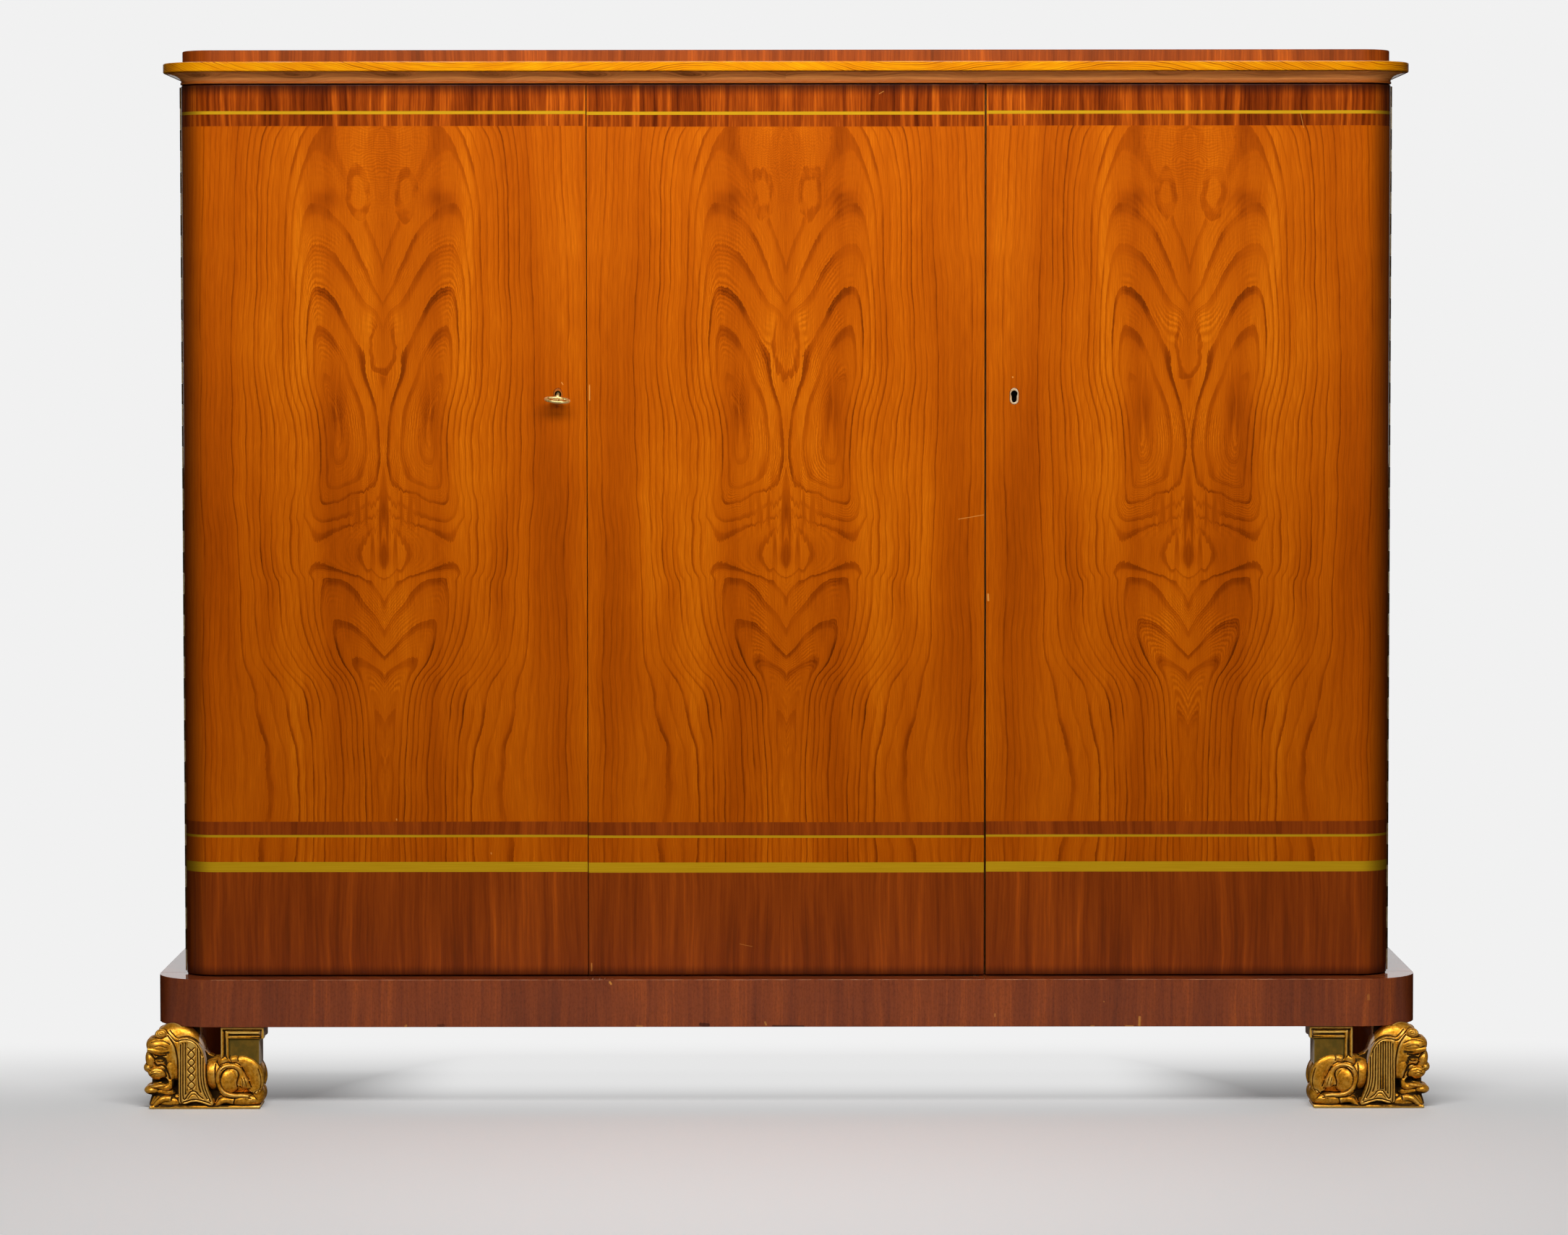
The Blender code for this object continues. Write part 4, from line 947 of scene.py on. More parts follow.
def build_cove_wood():
    """Walnut whose rings rise over a dark eye in each short leaf, darker along its lower edge."""
    material, recipe, shader = new_material("cove_walnut")
    low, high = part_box("cove_board")
    x, y, z = recipe.split(recipe.place())
    along = along_cornice(recipe, x, y, low.y)
    share = (z - low.z) / (high.z - low.z)
    turns = along / COVE_LEAF + COVE_EYE[0]
    aside = (recipe.math("FRACT", turns) - 0.5) * 5.2
    up = (share - COVE_EYE[1]) * 3.0
    eye = recipe.math("EXPONENT", (aside * aside + up * up) * -1.0)
    eye *= recipe.step(along, 0.15, -0.15) * 0.7 + 0.3
    height = share + eye * 0.8
    height += recipe.sway((along, 0.0, 1.0), 9.0, 0.5)
    layers = recipe.noise((along * 8.0, height * 7.0, 2.0), 1.0, 4.0, 0.6)
    fine = recipe.noise((along * 60.0, height * 60.0, 4.0), 1.0, 2.0)
    tone = 0.55 + (layers - 0.5) * 1.3
    tone += (fine - 0.5) * 0.4
    tone = (tone - eye * 0.42).clamped()
    colour = recipe.ramp(
        tone,
        (0.0, paint(104, 56, 22)),
        (0.4, paint(166, 100, 48)),
        (0.7, paint(196, 124, 62)),
        (1.0, paint(222, 150, 76)),
    )
    lip = recipe.step(share, 0.42, 0.10)
    colour = recipe.mix(lip * 0.85, colour, paint(138, 66, 14))
    recipe.feed(shader["Base Color"], colour)
    varnish(shader)
    return material


def build_slab_wood():
    """Elm with long low rings, each of its own strength, with a painted highlight in places along its top
    edge.
    """
    material, recipe, shader = new_material("slab_elm")
    low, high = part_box("cornice_slab")
    x, y, z = recipe.split(recipe.place())
    along = along_cornice(recipe, x, y, low.y)
    height = z + recipe.sway((along, 0.0, 6.0), 1.7, 0.30, detail=1.0)
    height += along * 0.05
    height += recipe.sway((along, z, 2.0), 22.0, 0.006)
    count = height / 0.0030
    late = recipe.curve(recipe.math("FRACT", count), [(0, 0.15), (0.45, 0.1), (0.80, 1.0), (1, 0.25)])
    which = recipe.chance(recipe.math("FLOOR", count))
    faint = recipe.step(recipe.noise((along, z, 7.0), 6.0, 2.0), 0.36, 0.64)
    line = late * (which**2.0 + 0.10)
    line *= faint * 0.7 + 0.3
    fine = recipe.noise((along * 30.0, height * 1500.0, 3.0), 1.0, 4.0)
    clouds = recipe.noise((along, z, 5.0), 11.0, 3.0)
    tone = 0.72 - line * 0.72
    tone += (fine - 0.5) * 1.4
    tone = (tone + (clouds - 0.5) * 0.7).clamped()
    colour = recipe.ramp(
        tone,
        (0.0, paint(150, 70, 2)),
        (0.35, paint(206, 112, 2)),
        (0.7, paint(238, 148, 2)),
        (1.0, paint(252, 182, 8)),
    )
    # painted highlight: a pale line along the top edge, broken by noise
    top = recipe.step(z, high.z - 0.0006, high.z - 0.0003)
    rubbed = recipe.step(recipe.noise((x, 0.0, 9.0), 7.0, 3.0), 0.40, 0.56)
    colour = recipe.mix(top * rubbed * 0.6, colour, paint(252, 226, 180))
    recipe.feed(shader["Base Color"], colour)
    varnish(shader)
    return material


# %% Wood finishes put on
plinth = ["plinth_front_rail", "plinth_side_rail_left", "plinth_side_rail_right", "plinth_back_rail"]
finish(build_plinth_wood(), [*plinth, "plinth_panel"], rub=0.0009)
tier_wood, recipe, shader = build_mahogany("tier_mahogany", 2, 17.0, 1.1, paint(164, 84, 26), 0.30)
# a top that things have stood on is duller than the doors
varnish(shader, roughness=0.5, coat=0.12, coat_roughness=0.35)
finish(tier_wood, ["top_tier"], rub=0.0008)
finish(build_cove_wood(), ["cove_board"], rub=0.0003)
cove_lamp = softbox("cove_lamp", (0, -2.2, 0.3), (0, -0.2, 1.43), (2.4, 0.8), 26, mirrored=False)
light_only(cove_lamp, ["cove_board_eased"])
finish(build_slab_wood(), ["cornice_slab"], rub=0.0004)
leg_wood = build_mahogany("leg_mahogany", 2, 31.0, 0.5)[0]
finish(leg_wood, ["rear_leg_left", "rear_leg_right"], rub=0.0012)
upright = ["partition_left", "partition_right", "back_panel_left", "back_panel_middle", "back_panel_right"]
level = ["floor_board", "ceiling_board", *[name for name in nodes if name.startswith("shelf_")]]
finish(build_board("upright_oak", 2, 1.0), upright)
finish(build_board("level_oak", 0, 5.0), level)

# %% Metals
def build_metal(name, dark, light, roughness, metallic=1.0):
    """A metal that tarnish mottles between a dark and a light colour."""
    material, recipe, shader = new_material(name)
    tarnish = recipe.noise(recipe.place(), 160.0, 4.0, 0.6)
    recipe.feed(shader["Base Color"], recipe.ramp(tarnish, (0.3, dark), (0.7, light)))
    recipe.feed(shader["Roughness"], tarnish * 0.2 + (roughness - 0.1))
    shader["Metallic"].default_value = metallic
    return material


aged_brass = build_metal("aged_brass", paint(196, 162, 106), paint(244, 220, 170), 0.38, 0.45)
worn_brass = build_metal("worn_brass", paint(226, 168, 92), paint(255, 236, 200), 0.36, 0.35)
dull_steel = build_metal("dull_steel", paint(60, 56, 52), paint(112, 106, 98), 0.42)
dark_brass = build_metal("dark_brass", paint(92, 66, 34), paint(150, 114, 66), 0.42, 0.85)
door_leaves = [name for name in nodes if name.endswith("hinge_door_leaf")]
finish(aged_brass, door_leaves, rub=0.0001)
case_leaves = [name for name in nodes if name.endswith(("hinge_case_leaf", "hinge_pin"))]
finish(dark_brass, case_leaves, rub=0.0001)
browned_brass = build_metal("browned_brass", paint(176, 84, 12), paint(216, 120, 24), 0.36, 0.2)
finish(worn_brass, ["right_keyhole_insert"], rub=0.0004, rounds=3)
finish(browned_brass, ["left_keyhole_insert"], rub=0.0004, rounds=3)
fittings = [name for name in nodes if "lock" in name or "pivot" in name or "bolt" in name]
finish(dull_steel, fittings, rub=0.0003)

# %% [markdown]
# ## The key
# The bow of the key is pierced, like lace. It is made flat on a bench from bent rings and bars, and
# then carried to the lock: the joint that turns the key knows where its shank enters the door and
# which way it points.

# %% The key with its pierced bow
BOW_OUT = 0.0262
BOW_TILT = math.radians(5.5)
KEY_TIP = -0.0355
KEY_BIT = (0.0085, 0.0045, 0.0024)


def bow_ring(across, out, half_across, half_out, thick):
    """An oval ring of round wire, lying flat."""
    deselect()
    size = max(half_across, half_out)
    segments = {"major_segments": 48, "minor_segments": 16}
    bpy.ops.mesh.primitive_torus_add(major_radius=size, minor_radius=thick, **segments)
    ring = bpy.context.object
    ring.scale = (half_across / size, half_out / size, 1)
    ring.location = (across, out, 0)
    return settle(ring)


def bow_bead(across, out, half_across, half_out, half_up):
    """A small rounded lump."""
    deselect()
    bpy.ops.mesh.primitive_uv_sphere_add(segments=24, ring_count=14, radius=1, location=(across, out, 0))
    bead = bpy.context.object
    bead.scale = (half_across, half_out, half_up)
    return settle(bead)


def shank_piece(start, end, radius):
    """A turned stretch of the shank, from start to end along it."""
    deselect()
    place = {"location": (0, (start + end) / 2, 0), "rotation": (math.pi / 2, 0, 0)}
    bpy.ops.mesh.primitive_cylinder_add(vertices=32, radius=radius, depth=end - start, **place)
    piece = settle(bpy.context.object)
    modify(piece, "BEVEL", width=radius * 0.25, segments=3)
    return piece


def make_key():
    """The bow, the shank and the bit, joined and carried to the lock along the axis of the joint."""
    turn = next(joint for joint in frame["joints"] if joint["name"] == "key_turn")
    parts = [bow_ring(0, BOW_OUT, 0.0163, 0.0107, 0.0019)]
    parts.append(bow_ring(0, BOW_OUT + 0.0035, 0.0042, 0.0056, 0.0010))
    for side in (-1, 1):
        parts.append(bow_ring(side * 0.0098, BOW_OUT - 0.0008, 0.0046, 0.0062, 0.0010))
        parts.append(bow_bead(side * 0.0053, BOW_OUT + 0.0062, 0.0016, 0.0024, 0.0013))
        parts.append(bow_bead(side * 0.0050, BOW_OUT - 0.0062, 0.0022, 0.0030, 0.0014))
    parts.append(bow_bead(0, BOW_OUT - 0.0052, 0.0022, 0.0058, 0.0016))
    parts.append(bow_bead(0, BOW_OUT + 0.0104, 0.0040, 0.0020, 0.0020))
    for part in parts:
        for vertex in part.data.vertices:
            x, z = vertex.co.x, vertex.co.z
            vertex.co.x = x * math.cos(BOW_TILT) - z * math.sin(BOW_TILT)
            vertex.co.z = x * math.sin(BOW_TILT) + z * math.cos(BOW_TILT)
    parts.append(shank_piece(KEY_TIP, BOW_OUT - 0.010, 0.0022))
    parts.append(shank_piece(0.0088, 0.0106, 0.0031))
    parts.append(bow_bead(0, 0.0128, 0.0038, 0.0026, 0.0038))
    deselect()
    high, long, thick = KEY_BIT
    bpy.ops.mesh.primitive_cube_add(size=1, location=(-high / 2, KEY_TIP + long / 2 + 0.0011, 0))
    bit = bpy.context.object
    bit.scale = (high, long, thick)
    parts.append(settle(bit))
    key = join("key_with_pierced_bow", parts)
    out = -Vector(turn["axis"]).normalized()
    across = Vector((1, 0, 0))
    place = Matrix((across, out, across.cross(out))).transposed().to_4x4()
    key.data.transform(Matrix.Translation(turn["pos_m"]) @ place)
    with editing(key):
        bpy.ops.mesh.normals_make_consistent(inside=False)
    bpy.ops.object.shade_smooth_by_angle(angle=math.radians(40))
    dress(key, key_brass)
    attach(key, "key")
    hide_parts("key")
    print(key.name, len(key.data.polygons), "faces")


key_brass = build_metal("key_brass", paint(214, 174, 84), paint(255, 236, 164), 0.28, 0.6)
dress(nodes["key"], key_brass)
make_key()

# %% [markdown]
# ## The lion feet
# Each front foot is a lion lying down, carved in wood and gilded, with a striped headcloth. Its two
# posts carry the plinth. A carver starts from the big forms and cuts the lines last, and so does this:
# round forms and planks are put together in the rough, a voxel remesh melts them into one skin, and
# then grooves are pressed into that skin along drawn paths. Measures are in millimetres on the lion
# itself: in from the nose, back from the front face, and up from the floor.

# %% Old gilding
def build_gilding():
    """Gold leaf over dark bole: bright on the ridges, partly from wear and partly as painted highlight,
    brown where dirt lies in the recesses and where shade is painted into them.
    """
    material, recipe, shader = new_material("old_gilding")
    spot = recipe.place()
    recess = recipe.attribute("recess")
    blotch = recipe.sway(spot, 90.0, 0.5, detail=4.0)
    # dirt and painted shade: the hollows and shaded spots turn dark brown; the ridges turn pale gold,
    # partly from wear and partly as a painted highlight
    dirt = recipe.step(recess + blotch, -0.03, 0.22)
    ridge_glint_and_wear = recipe.step(recess + blotch, -0.10, -0.50)
    mottle = recipe.noise(spot, 260.0, 5.0, 0.6)
    stops = (0.25, paint(164, 94, 16)), (0.5, paint(222, 148, 34)), (0.75, paint(250, 186, 70))
    gold = recipe.ramp(mottle, *stops)
    gold = recipe.mix(ridge_glint_and_wear * 0.7, gold, paint(255, 212, 112))
    colour = recipe.mix(dirt * 0.97, gold, paint(30, 20, 6))
    panel = recipe.attribute("panel")
    colour = recipe.mix(panel * 0.9, colour, paint(94, 76, 26))
    bare = recipe.attribute("bare")
    colour = recipe.mix(bare * 0.85, colour, paint(214, 200, 184))
    recipe.feed(shader["Base Color"], colour)
    dull = recipe.most(recipe.most(dirt * 0.9, bare), panel * 0.7)
    recipe.feed(shader["Metallic"], 0.62 - dull * 0.6)
    recipe.feed(shader["Roughness"], 0.35 + dull * 0.42 + blotch * 0.3)
    shader["Specular IOR Level"].default_value = 0.08
    recipe.feed(shader["Normal"], recipe.relief(recipe.noise(spot, 700.0, 3.0), 0.0003, 0.35))
    return material


gilt = build_gilding()
print("gilding made")

# %% Rough forms for carving
MM = 0.001
LION_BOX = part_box("lion_foot_left")
LION_DEEP = (LION_BOX[1].y - LION_BOX[0].y) / MM
LION_MIDDLE = LION_DEEP / 2
LION_CORNER = LION_BOX[0] + Vector((3.2 * MM, 0, 0))
PLINTH_ROUND = 0.083
PLINTH_CORNER = (PLINTH_LOW.x + PLINTH_ROUND, PLINTH_LOW.y + PLINTH_ROUND)


def on_lion(inward, back, up):
    """A point on the left lion, from millimetres to the frame."""
    return LION_CORNER + Vector((inward, back, up)) * MM


def blob(inward, back, up, long, deep, tall, turn=0.0, flat=1.0):
    """A round form with three half sizes, turned in the face of the carving by some degrees.
    With flat below 1 its broad faces flatten, like a cushion between two boards."""
    deselect()
    place = on_lion(inward, back, up)
    bpy.ops.mesh.primitive_uv_sphere_add(segments=40, ring_count=24, radius=1, location=place)
    form = bpy.context.object
    for vertex in form.data.vertices:
        vertex.co.y = math.copysign(abs(vertex.co.y) ** flat, vertex.co.y)
    form.scale = (long * MM, deep * MM, tall * MM)
    form.rotation_euler = (0, math.radians(turn), 0)
    return settle(form)


def rope(back, points, thick, squeeze=1.0):
    """A round bar along points given as (inward, up) or (inward, up, width share)."""
    line = bpy.data.curves.new("rope", "CURVE")
    line.dimensions = "3D"
    line.bevel_depth = thick * MM
    line.bevel_resolution = 5
    line.use_fill_caps = True
    line.resolution_u = 8
    spline = line.splines.new("NURBS")
    spline.points.add(len(points) - 1)
    for spot, (inward, up, *share) in zip(spline.points, points):
        spot.co = (*on_lion(inward, 0, up), 1)
        spot.radius = share[0] if share else 1.0
    spline.use_endpoint_u = True
    spline.order_u = 3
    form = bpy.data.objects.new("rope", line)
    bpy.context.collection.objects.link(form)
    pick(form)
    bpy.ops.object.convert(target="MESH")
    form = bpy.context.object
    flat = LION_BOX[0].y
    for vertex in form.data.vertices:
        vertex.co.y = flat + (vertex.co.y - flat) * squeeze + back * MM
    return form


def plank(outline, near, far, soft=1.0):
    """A flat piece cut to an outline of (inward, up) points, between two depths, with eased edges."""
    deselect()
    bpy.ops.mesh.primitive_circle_add(vertices=len(outline), radius=1, fill_type="NGON")
    form = bpy.context.object
    for vertex, (inward, up) in zip(form.data.vertices, outline):
        vertex.co = on_lion(inward, near, up)
    with editing(form):
        bpy.ops.mesh.extrude_region_move(TRANSFORM_OT_translate={"value": (0, (far - near) * MM, 0)})
        bpy.ops.mesh.select_all(action="SELECT")
        bpy.ops.mesh.normals_make_consistent(inside=False)
    modify(form, "BEVEL", width=soft * MM, segments=2, limit_method="ANGLE")
    return form


print("lion is", round(LION_DEEP, 1), "mm deep")


# %% The body, haunch, paws and posts
TAIL = [(134.5, 33), (135.5, 40), (138.5, 48), (135, 56), (127.5, 60.2), (119, 61), (111, 57.6), (106, 51),
        (104, 41.5), (106, 31.5), (111.5, 24), (120, 19.6), (130, 18.2), (139.5, 19.2), (147, 16.5)]
POST_CURVE = [(58, 114.2), (79.4, 114.2), (79.6, 99), (81, 90), (85, 81), (91, 75), (100, 70.5),
              (108, 69), (108, 55), (58, 55)]
POST_PANEL = [(109.5, 114.2), (168.6, 114.2), (168.6, 99.5), (163.5, 97.2), (162.6, 94), (162.6, 52),
              (109.5, 52)]
OUTER_STEP = [(109.1, 114.4), (169, 114.4), (169, 98.4), (165.2, 98.4), (165.2, 110.4), (113.0, 110.4),
              (113.0, 62), (109.1, 62)]
INNER_STEP = [(116.4, 107.6), (162.6, 107.6), (162.6, 104.9), (119.8, 104.9), (119.8, 62), (116.4, 62)]


def hind_toe(number, deep):
    """One toe of the hind foot: each lies deeper, higher and nearer the nose than the one before."""
    lift = number * 3.0
    push = number * 2.2
    line = [(126 - push, 11 + lift, 1.1), (116 - push, 13.5 + lift, 1.15), (108 - push, 11 + lift, 0.95),
            (102 - push * 0.4, 3.8, 0.5)]
    return rope(deep, line, 4.2, 0.9)


def fore_claw(number, deep):
    """One claw of the fore paw, set off from the one before in the same way."""
    lift = number * 1.9
    reach = number * 3.4
    line = [(39 - reach, 14 + lift, 1.0), (31 - reach, 15.6 + lift, 1.1),
            (22 - reach * 0.9, 11 + lift, 0.9), (15 - reach * 0.6, 3.6, 0.5)]
    return rope(deep, line, 4.0, 0.9)


def body_forms():
    return [
        plank([(8.5, 0), (163, 0), (164, 5.0), (9, 5.0)], 3.2, LION_MIDDLE, 2.0),
        # a plain core, so that no light shows through between the forms
        plank([(10, 2), (150, 2), (150, 40), (52, 60), (12, 60)], 19, LION_MIDDLE, 2),
        blob(104, 30, 47.5, 28, 25, 24.5, 0, 0.75),
        # haunch with its crescent of muscle
        blob(135, 30, 46.5, 33.2, 25.5, 29.5, 0, 0.6),
        rope(8.5, [(118, 66, 0.5), (130, 67, 0.8), (142, 65, 1.1), (152, 58, 1.2), (157.5, 47, 1.2),
                   (158.5, 34, 1.1), (154, 23, 0.9)], 9.5, 0.62),
        blob(112.6, 9, 67.5, 8.0, 7.0, 9.0, 24),
        blob(127.5, 8.5, 69, 8.4, 6.5, 6.0, -10),
        # the disc inside the tail, the tail and its tuft
        blob(120, 8.5, 38.5, 14.5, 6.0, 17.5, 8),
        rope(4.4, TAIL, 3.1, 1.0),
        rope(4.8, [(138.5, 52, 0.6), (139, 45, 1.0), (141, 38, 1.4), (143.5, 33.5, 1.25),
                   (150, 30.5, 0.3)], 5.4, 0.75),
        # hind foot: heel, sole and toes
        blob(141, 15, 12.0, 25, 12, 9.2, 2, 0.8),
        blob(160, 20, 19, 9.0, 15, 13.5, 0, 0.8),
        *[hind_toe(number, deep) for number, deep in enumerate((6.5, 11.5, 17.5))],
        # fore paw with claws, below the chin
        blob(35, 15, 10, 20, 11, 9.0, 6, 0.8),
        *[fore_claw(number, deep) for number, deep in enumerate((5.5, 10.0, 15.5, 21.0))],
        plank([(44, 3), (99, 3), (99, 14), (44, 20)], 8, LION_MIDDLE, 2.5),
        # front post, with the curve that it springs from the back on
        plank(POST_CURVE, 21, LION_MIDDLE, 0.5),
        # rear post: the panel, and the stepped moulding along its top and inner edge
        plank(POST_PANEL, 7.0, LION_MIDDLE, 0.4),
        plank(OUTER_STEP, 3.0, 20, 0.5),
        plank(INNER_STEP, 4.0, 20, 0.4),
        plank([(119.6, 102.4), (165.6, 102.4), (165.6, 98.4), (119.6, 98.4)], 4.0, 20, 0.5),
    ]


# %% The head
LAPPET = [(50.2, 99), (50.0, 60), (50.0, 9.6), (53, 7.8), (60, 7.4), (68, 10.0), (75, 10.4), (84, 8.2),
          (92, 5.4), (97.5, 5.0), (98.6, 9.0), (95, 17), (91.4, 25), (88.8, 35), (87.5, 46), (87.2, 60),
          (86.4, 72), (83.4, 83), (79, 91), (72, 96.5), (62, 100)]


def head_forms():
    return [
        # the round of the headcloth, and the broad lappet that hangs down and flares at the foot
        blob(46.5, 31, 79.6, 38.5, 29.5, 39.5, 0, 0.42),
        plank(LAPPET, 1.4, LION_MIDDLE, 1.8),
        blob(60, 16, 88, 17, 14.5, 15, 32, 0.7),
        # skull, cheek and brow
        blob(30, 34, 62, 23, 19, 36, 0, 0.7),
        blob(40.5, 13.0, 57, 11.5, 11.6, 19.0, -8, 0.8),
        blob(44, 12, 70, 6.5, 8.5, 8.0, 20, 0.9),
        blob(26.5, 18.0, 88.0, 22.5, 17.6, 12.4, 4, 0.7),
        blob(12, 24, 88, 8.6, 16, 10.8, 0, 0.8),
        rope(7.5, [(6.5, 83.5, 0.7), (14, 82.0, 1.1), (25, 80.6, 1.25), (36, 81.4, 1.1),
                   (46, 86, 0.8)], 4.6, 1.2),
        # nose, muzzle and chin
        blob(11.2, 20.0, 66.0, 8.2, 13.8, 15.6, -12, 0.8),
        blob(23.5, 19.5, 38.8, 12.0, 12.0, 6.5, -4, 0.8),
        blob(8.2, 21, 57.0, 8.2, 14, 7.4, -10, 0.8),
        blob(20.5, 15.5, 50.4, 14.6, 13.0, 10.4, 8, 0.8),
        blob(15.5, 14, 55.6, 7.0, 7.5, 4.8, -24),
        blob(28.0, 15, 50.2, 8.6, 9.0, 8.0, 34),
        blob(13.8, 20, 26.0, 13.2, 14.5, 7.4, -4, 0.8),
        blob(22.0, 15.5, 32.0, 13.5, 12.5, 3.9, -6, 0.8),
        rope(9.5, [(33.5, 45, 0.8), (38.5, 40, 1.0), (38.6, 33, 1.15), (32.5, 28.6, 1.1), (24, 30.6, 0.95),
                   (14, 32, 0.8)], 4.1, 1.1),
        blob(28, 20, 23.5, 17, 14, 7.5, 8, 0.8),
        # the eye and the boss of the band
        blob(26.0, 12.4, 67.8, 5.6, 4.6, 2.9, -18),
        blob(26.0, 9.5, 104.6, 9.2, 7.0, 7.0, -12, 0.8),
    ]


def hollows():
    """What is cut out of the head before it is melted: the mouth, and the socket of the eye."""
    return [
        blob(30.0, 7, 39.4, 6.6, 11, 4.4, 24),
        blob(13, 16, 38.0, 17.0, 26, 2.4, -6),
        blob(24.0, 6.2, 69.0, 9.0, 9.6, 4.4, -12),
    ]


# %% Melting the forms together
VOXEL = 0.00072


def melt(name):
    """One lion in the rough: half of it joined, mirrored, and melted into one smooth skin."""
    head = join("head", head_forms())
    for cutter in hollows():
        modify(head, "BOOLEAN", operation="DIFFERENCE", solver="EXACT", use_self=True, object=cutter)
        bpy.data.objects.remove(cutter)
    front_tooth = rope(16, [(17.5, 43, 1.0), (17.0, 38, 0.25)], 1.9)
    back_tooth = rope(15, [(23, 42.6, 1.0), (22.8, 38, 0.25)], 1.8)
    half = join(name, [head, *body_forms(), front_tooth, back_tooth])
    pick(half)
    bpy.ops.object.duplicate()
    other = bpy.context.object
    middle = on_lion(0, LION_MIDDLE, 0).y
    for vertex in other.data.vertices:
        vertex.co.y = 2 * middle - vertex.co.y
    with editing(other):
        bpy.ops.mesh.flip_normals()
    rough = join(name, [half, other])
    modify(rough, "REMESH", mode="VOXEL", voxel_size=VOXEL)
    modify(rough, "SMOOTH", factor=0.5, iterations=3)
    # the cloth swells up in front of the plinth's round corner, but not into it
    ceiling = LION_BOX[1].z - 0.3 * MM
    for vertex in rough.data.vertices:
        aside = vertex.co.x - PLINTH_CORNER[0]
        behind = vertex.co.y - PLINTH_CORNER[1]
        inside = math.hypot(aside, behind) < PLINTH_ROUND + MM or aside > 0 or behind > 0
        if inside and vertex.co.z > ceiling:
            vertex.co.z = ceiling
    print(name, "has", len(rough.data.polygons), "faces after melting")
    return rough


# %% Carving grooves along drawn paths
# each groove is its points (inward, up), its half width and its depth
HEADCLOTH_LINES = [
    ([(34, 108), (40.5, 100.5), (47.5, 95.0), (56, 97.0), (65, 96.8), (73, 92.8), (79.5, 84.5),
      (83.6, 74)], 0.9, 1.5),
    ([(38, 110), (44, 103.5), (49, 99.6), (57, 101.2), (66, 100.6), (75, 95.8), (82, 86.5)], 0.8, 1.3),
    ([(35.5, 102.5), (41.5, 94.5), (45.8, 86), (48.3, 74), (49.2, 60), (49.2, 20)], 1.2, 2.4),
]
LAPPET_EDGES = [
    ([(53.4, 90), (53.2, 60), (53.2, 12.5), (58, 10.6), (67, 13.2), (75, 13.8), (84, 11.6),
      (93.5, 8.6)], 0.95, 2.0),
    ([(56.6, 92), (56.4, 60), (56.4, 18), (60.5, 15.6)], 0.95, 2.0),
    ([(60.0, 92.5), (59.8, 60), (59.8, 22)], 0.9, 1.8),
    ([(84.6, 72), (84.4, 56), (84.8, 42), (86.8, 30), (90.4, 20), (94.4, 11)], 0.95, 2.0),
    ([(80.8, 80), (81.0, 60), (81.2, 44), (82.8, 32), (86, 22), (90, 14.6)], 0.95, 2.0),
    ([(76.8, 85), (77.2, 60), (77.4, 44), (78.6, 32), (81, 24)], 0.9, 1.9),
    ([(60.5, 16.2), (63.5, 20.5), (67, 24.8), (71, 25.6), (75, 24), (78.5, 19.5), (84, 15.2)], 0.95, 2.0),
    ([(63, 14.6), (67, 19.6), (70.8, 21.2), (74.5, 19.6), (78, 15.4)], 0.75, 1.0),
]
LATTICE_LINES = [
    ([(63.6, 86), (72.6, 76.4), (63.6, 65.8), (72.6, 55.2), (63.6, 44.6), (72.6, 34.0),
      (66, 27)], 0.8, 1.7),
    ([(72.6, 86), (63.6, 76.4), (72.6, 65.8), (63.6, 55.2), (72.6, 44.6), (63.6, 34.0),
      (70, 27)], 0.8, 1.7),
    ([(62.4, 92), (62.4, 60), (62.4, 27)], 0.6, 0.8),
    ([(73.9, 90), (74.2, 60), (74.4, 28)], 0.6, 0.8),
]
FLUTE_LINES = [
    ([(63.4, 92.5), (63.3, 60), (63.3, 26)], 0.95, 1.4),
    ([(66.9, 93), (66.9, 60), (66.9, 28)], 0.95, 1.4),
    ([(70.3, 91.5), (70.4, 60), (70.4, 28)], 0.95, 1.4),
    ([(73.7, 89), (73.9, 60), (74.0, 27)], 0.9, 1.4),
]
# dirt in the hollows, and painted shade under the brow, chin and paws and along the base: a spot (inward,
# up), its half width, its half height and how much lies there
SOOT_AND_SHADE = [
    (22.0, 71.4, 7.6, 3.2, 0.7), (31, 68, 4.0, 6.0, 0.5), (29, 39.6, 7.0, 4.0, 1.0),
    (12, 38, 12.0, 2.4, 0.9), (33, 55, 3.4, 8.0, 0.6), (44, 32, 5.0, 16.0, 0.7), (18, 20.5, 14.0, 3.0, 0.8),
    (5, 68, 3.5, 4.0, 0.3), (47, 88, 2.2, 16.0, 0.4), (103, 27, 4.0, 18.0, 0.6), (120, 15, 22.0, 2.0, 0.3),
    (30, 79, 14.0, 2.2, 0.4), (9, 47, 8.0, 2.5, 0.3), (100, 66, 6.0, 3.0, 0.3), (125, 3, 40.0, 2.6, 0.5),
    (40, 3, 40.0, 2.6, 0.5),
]
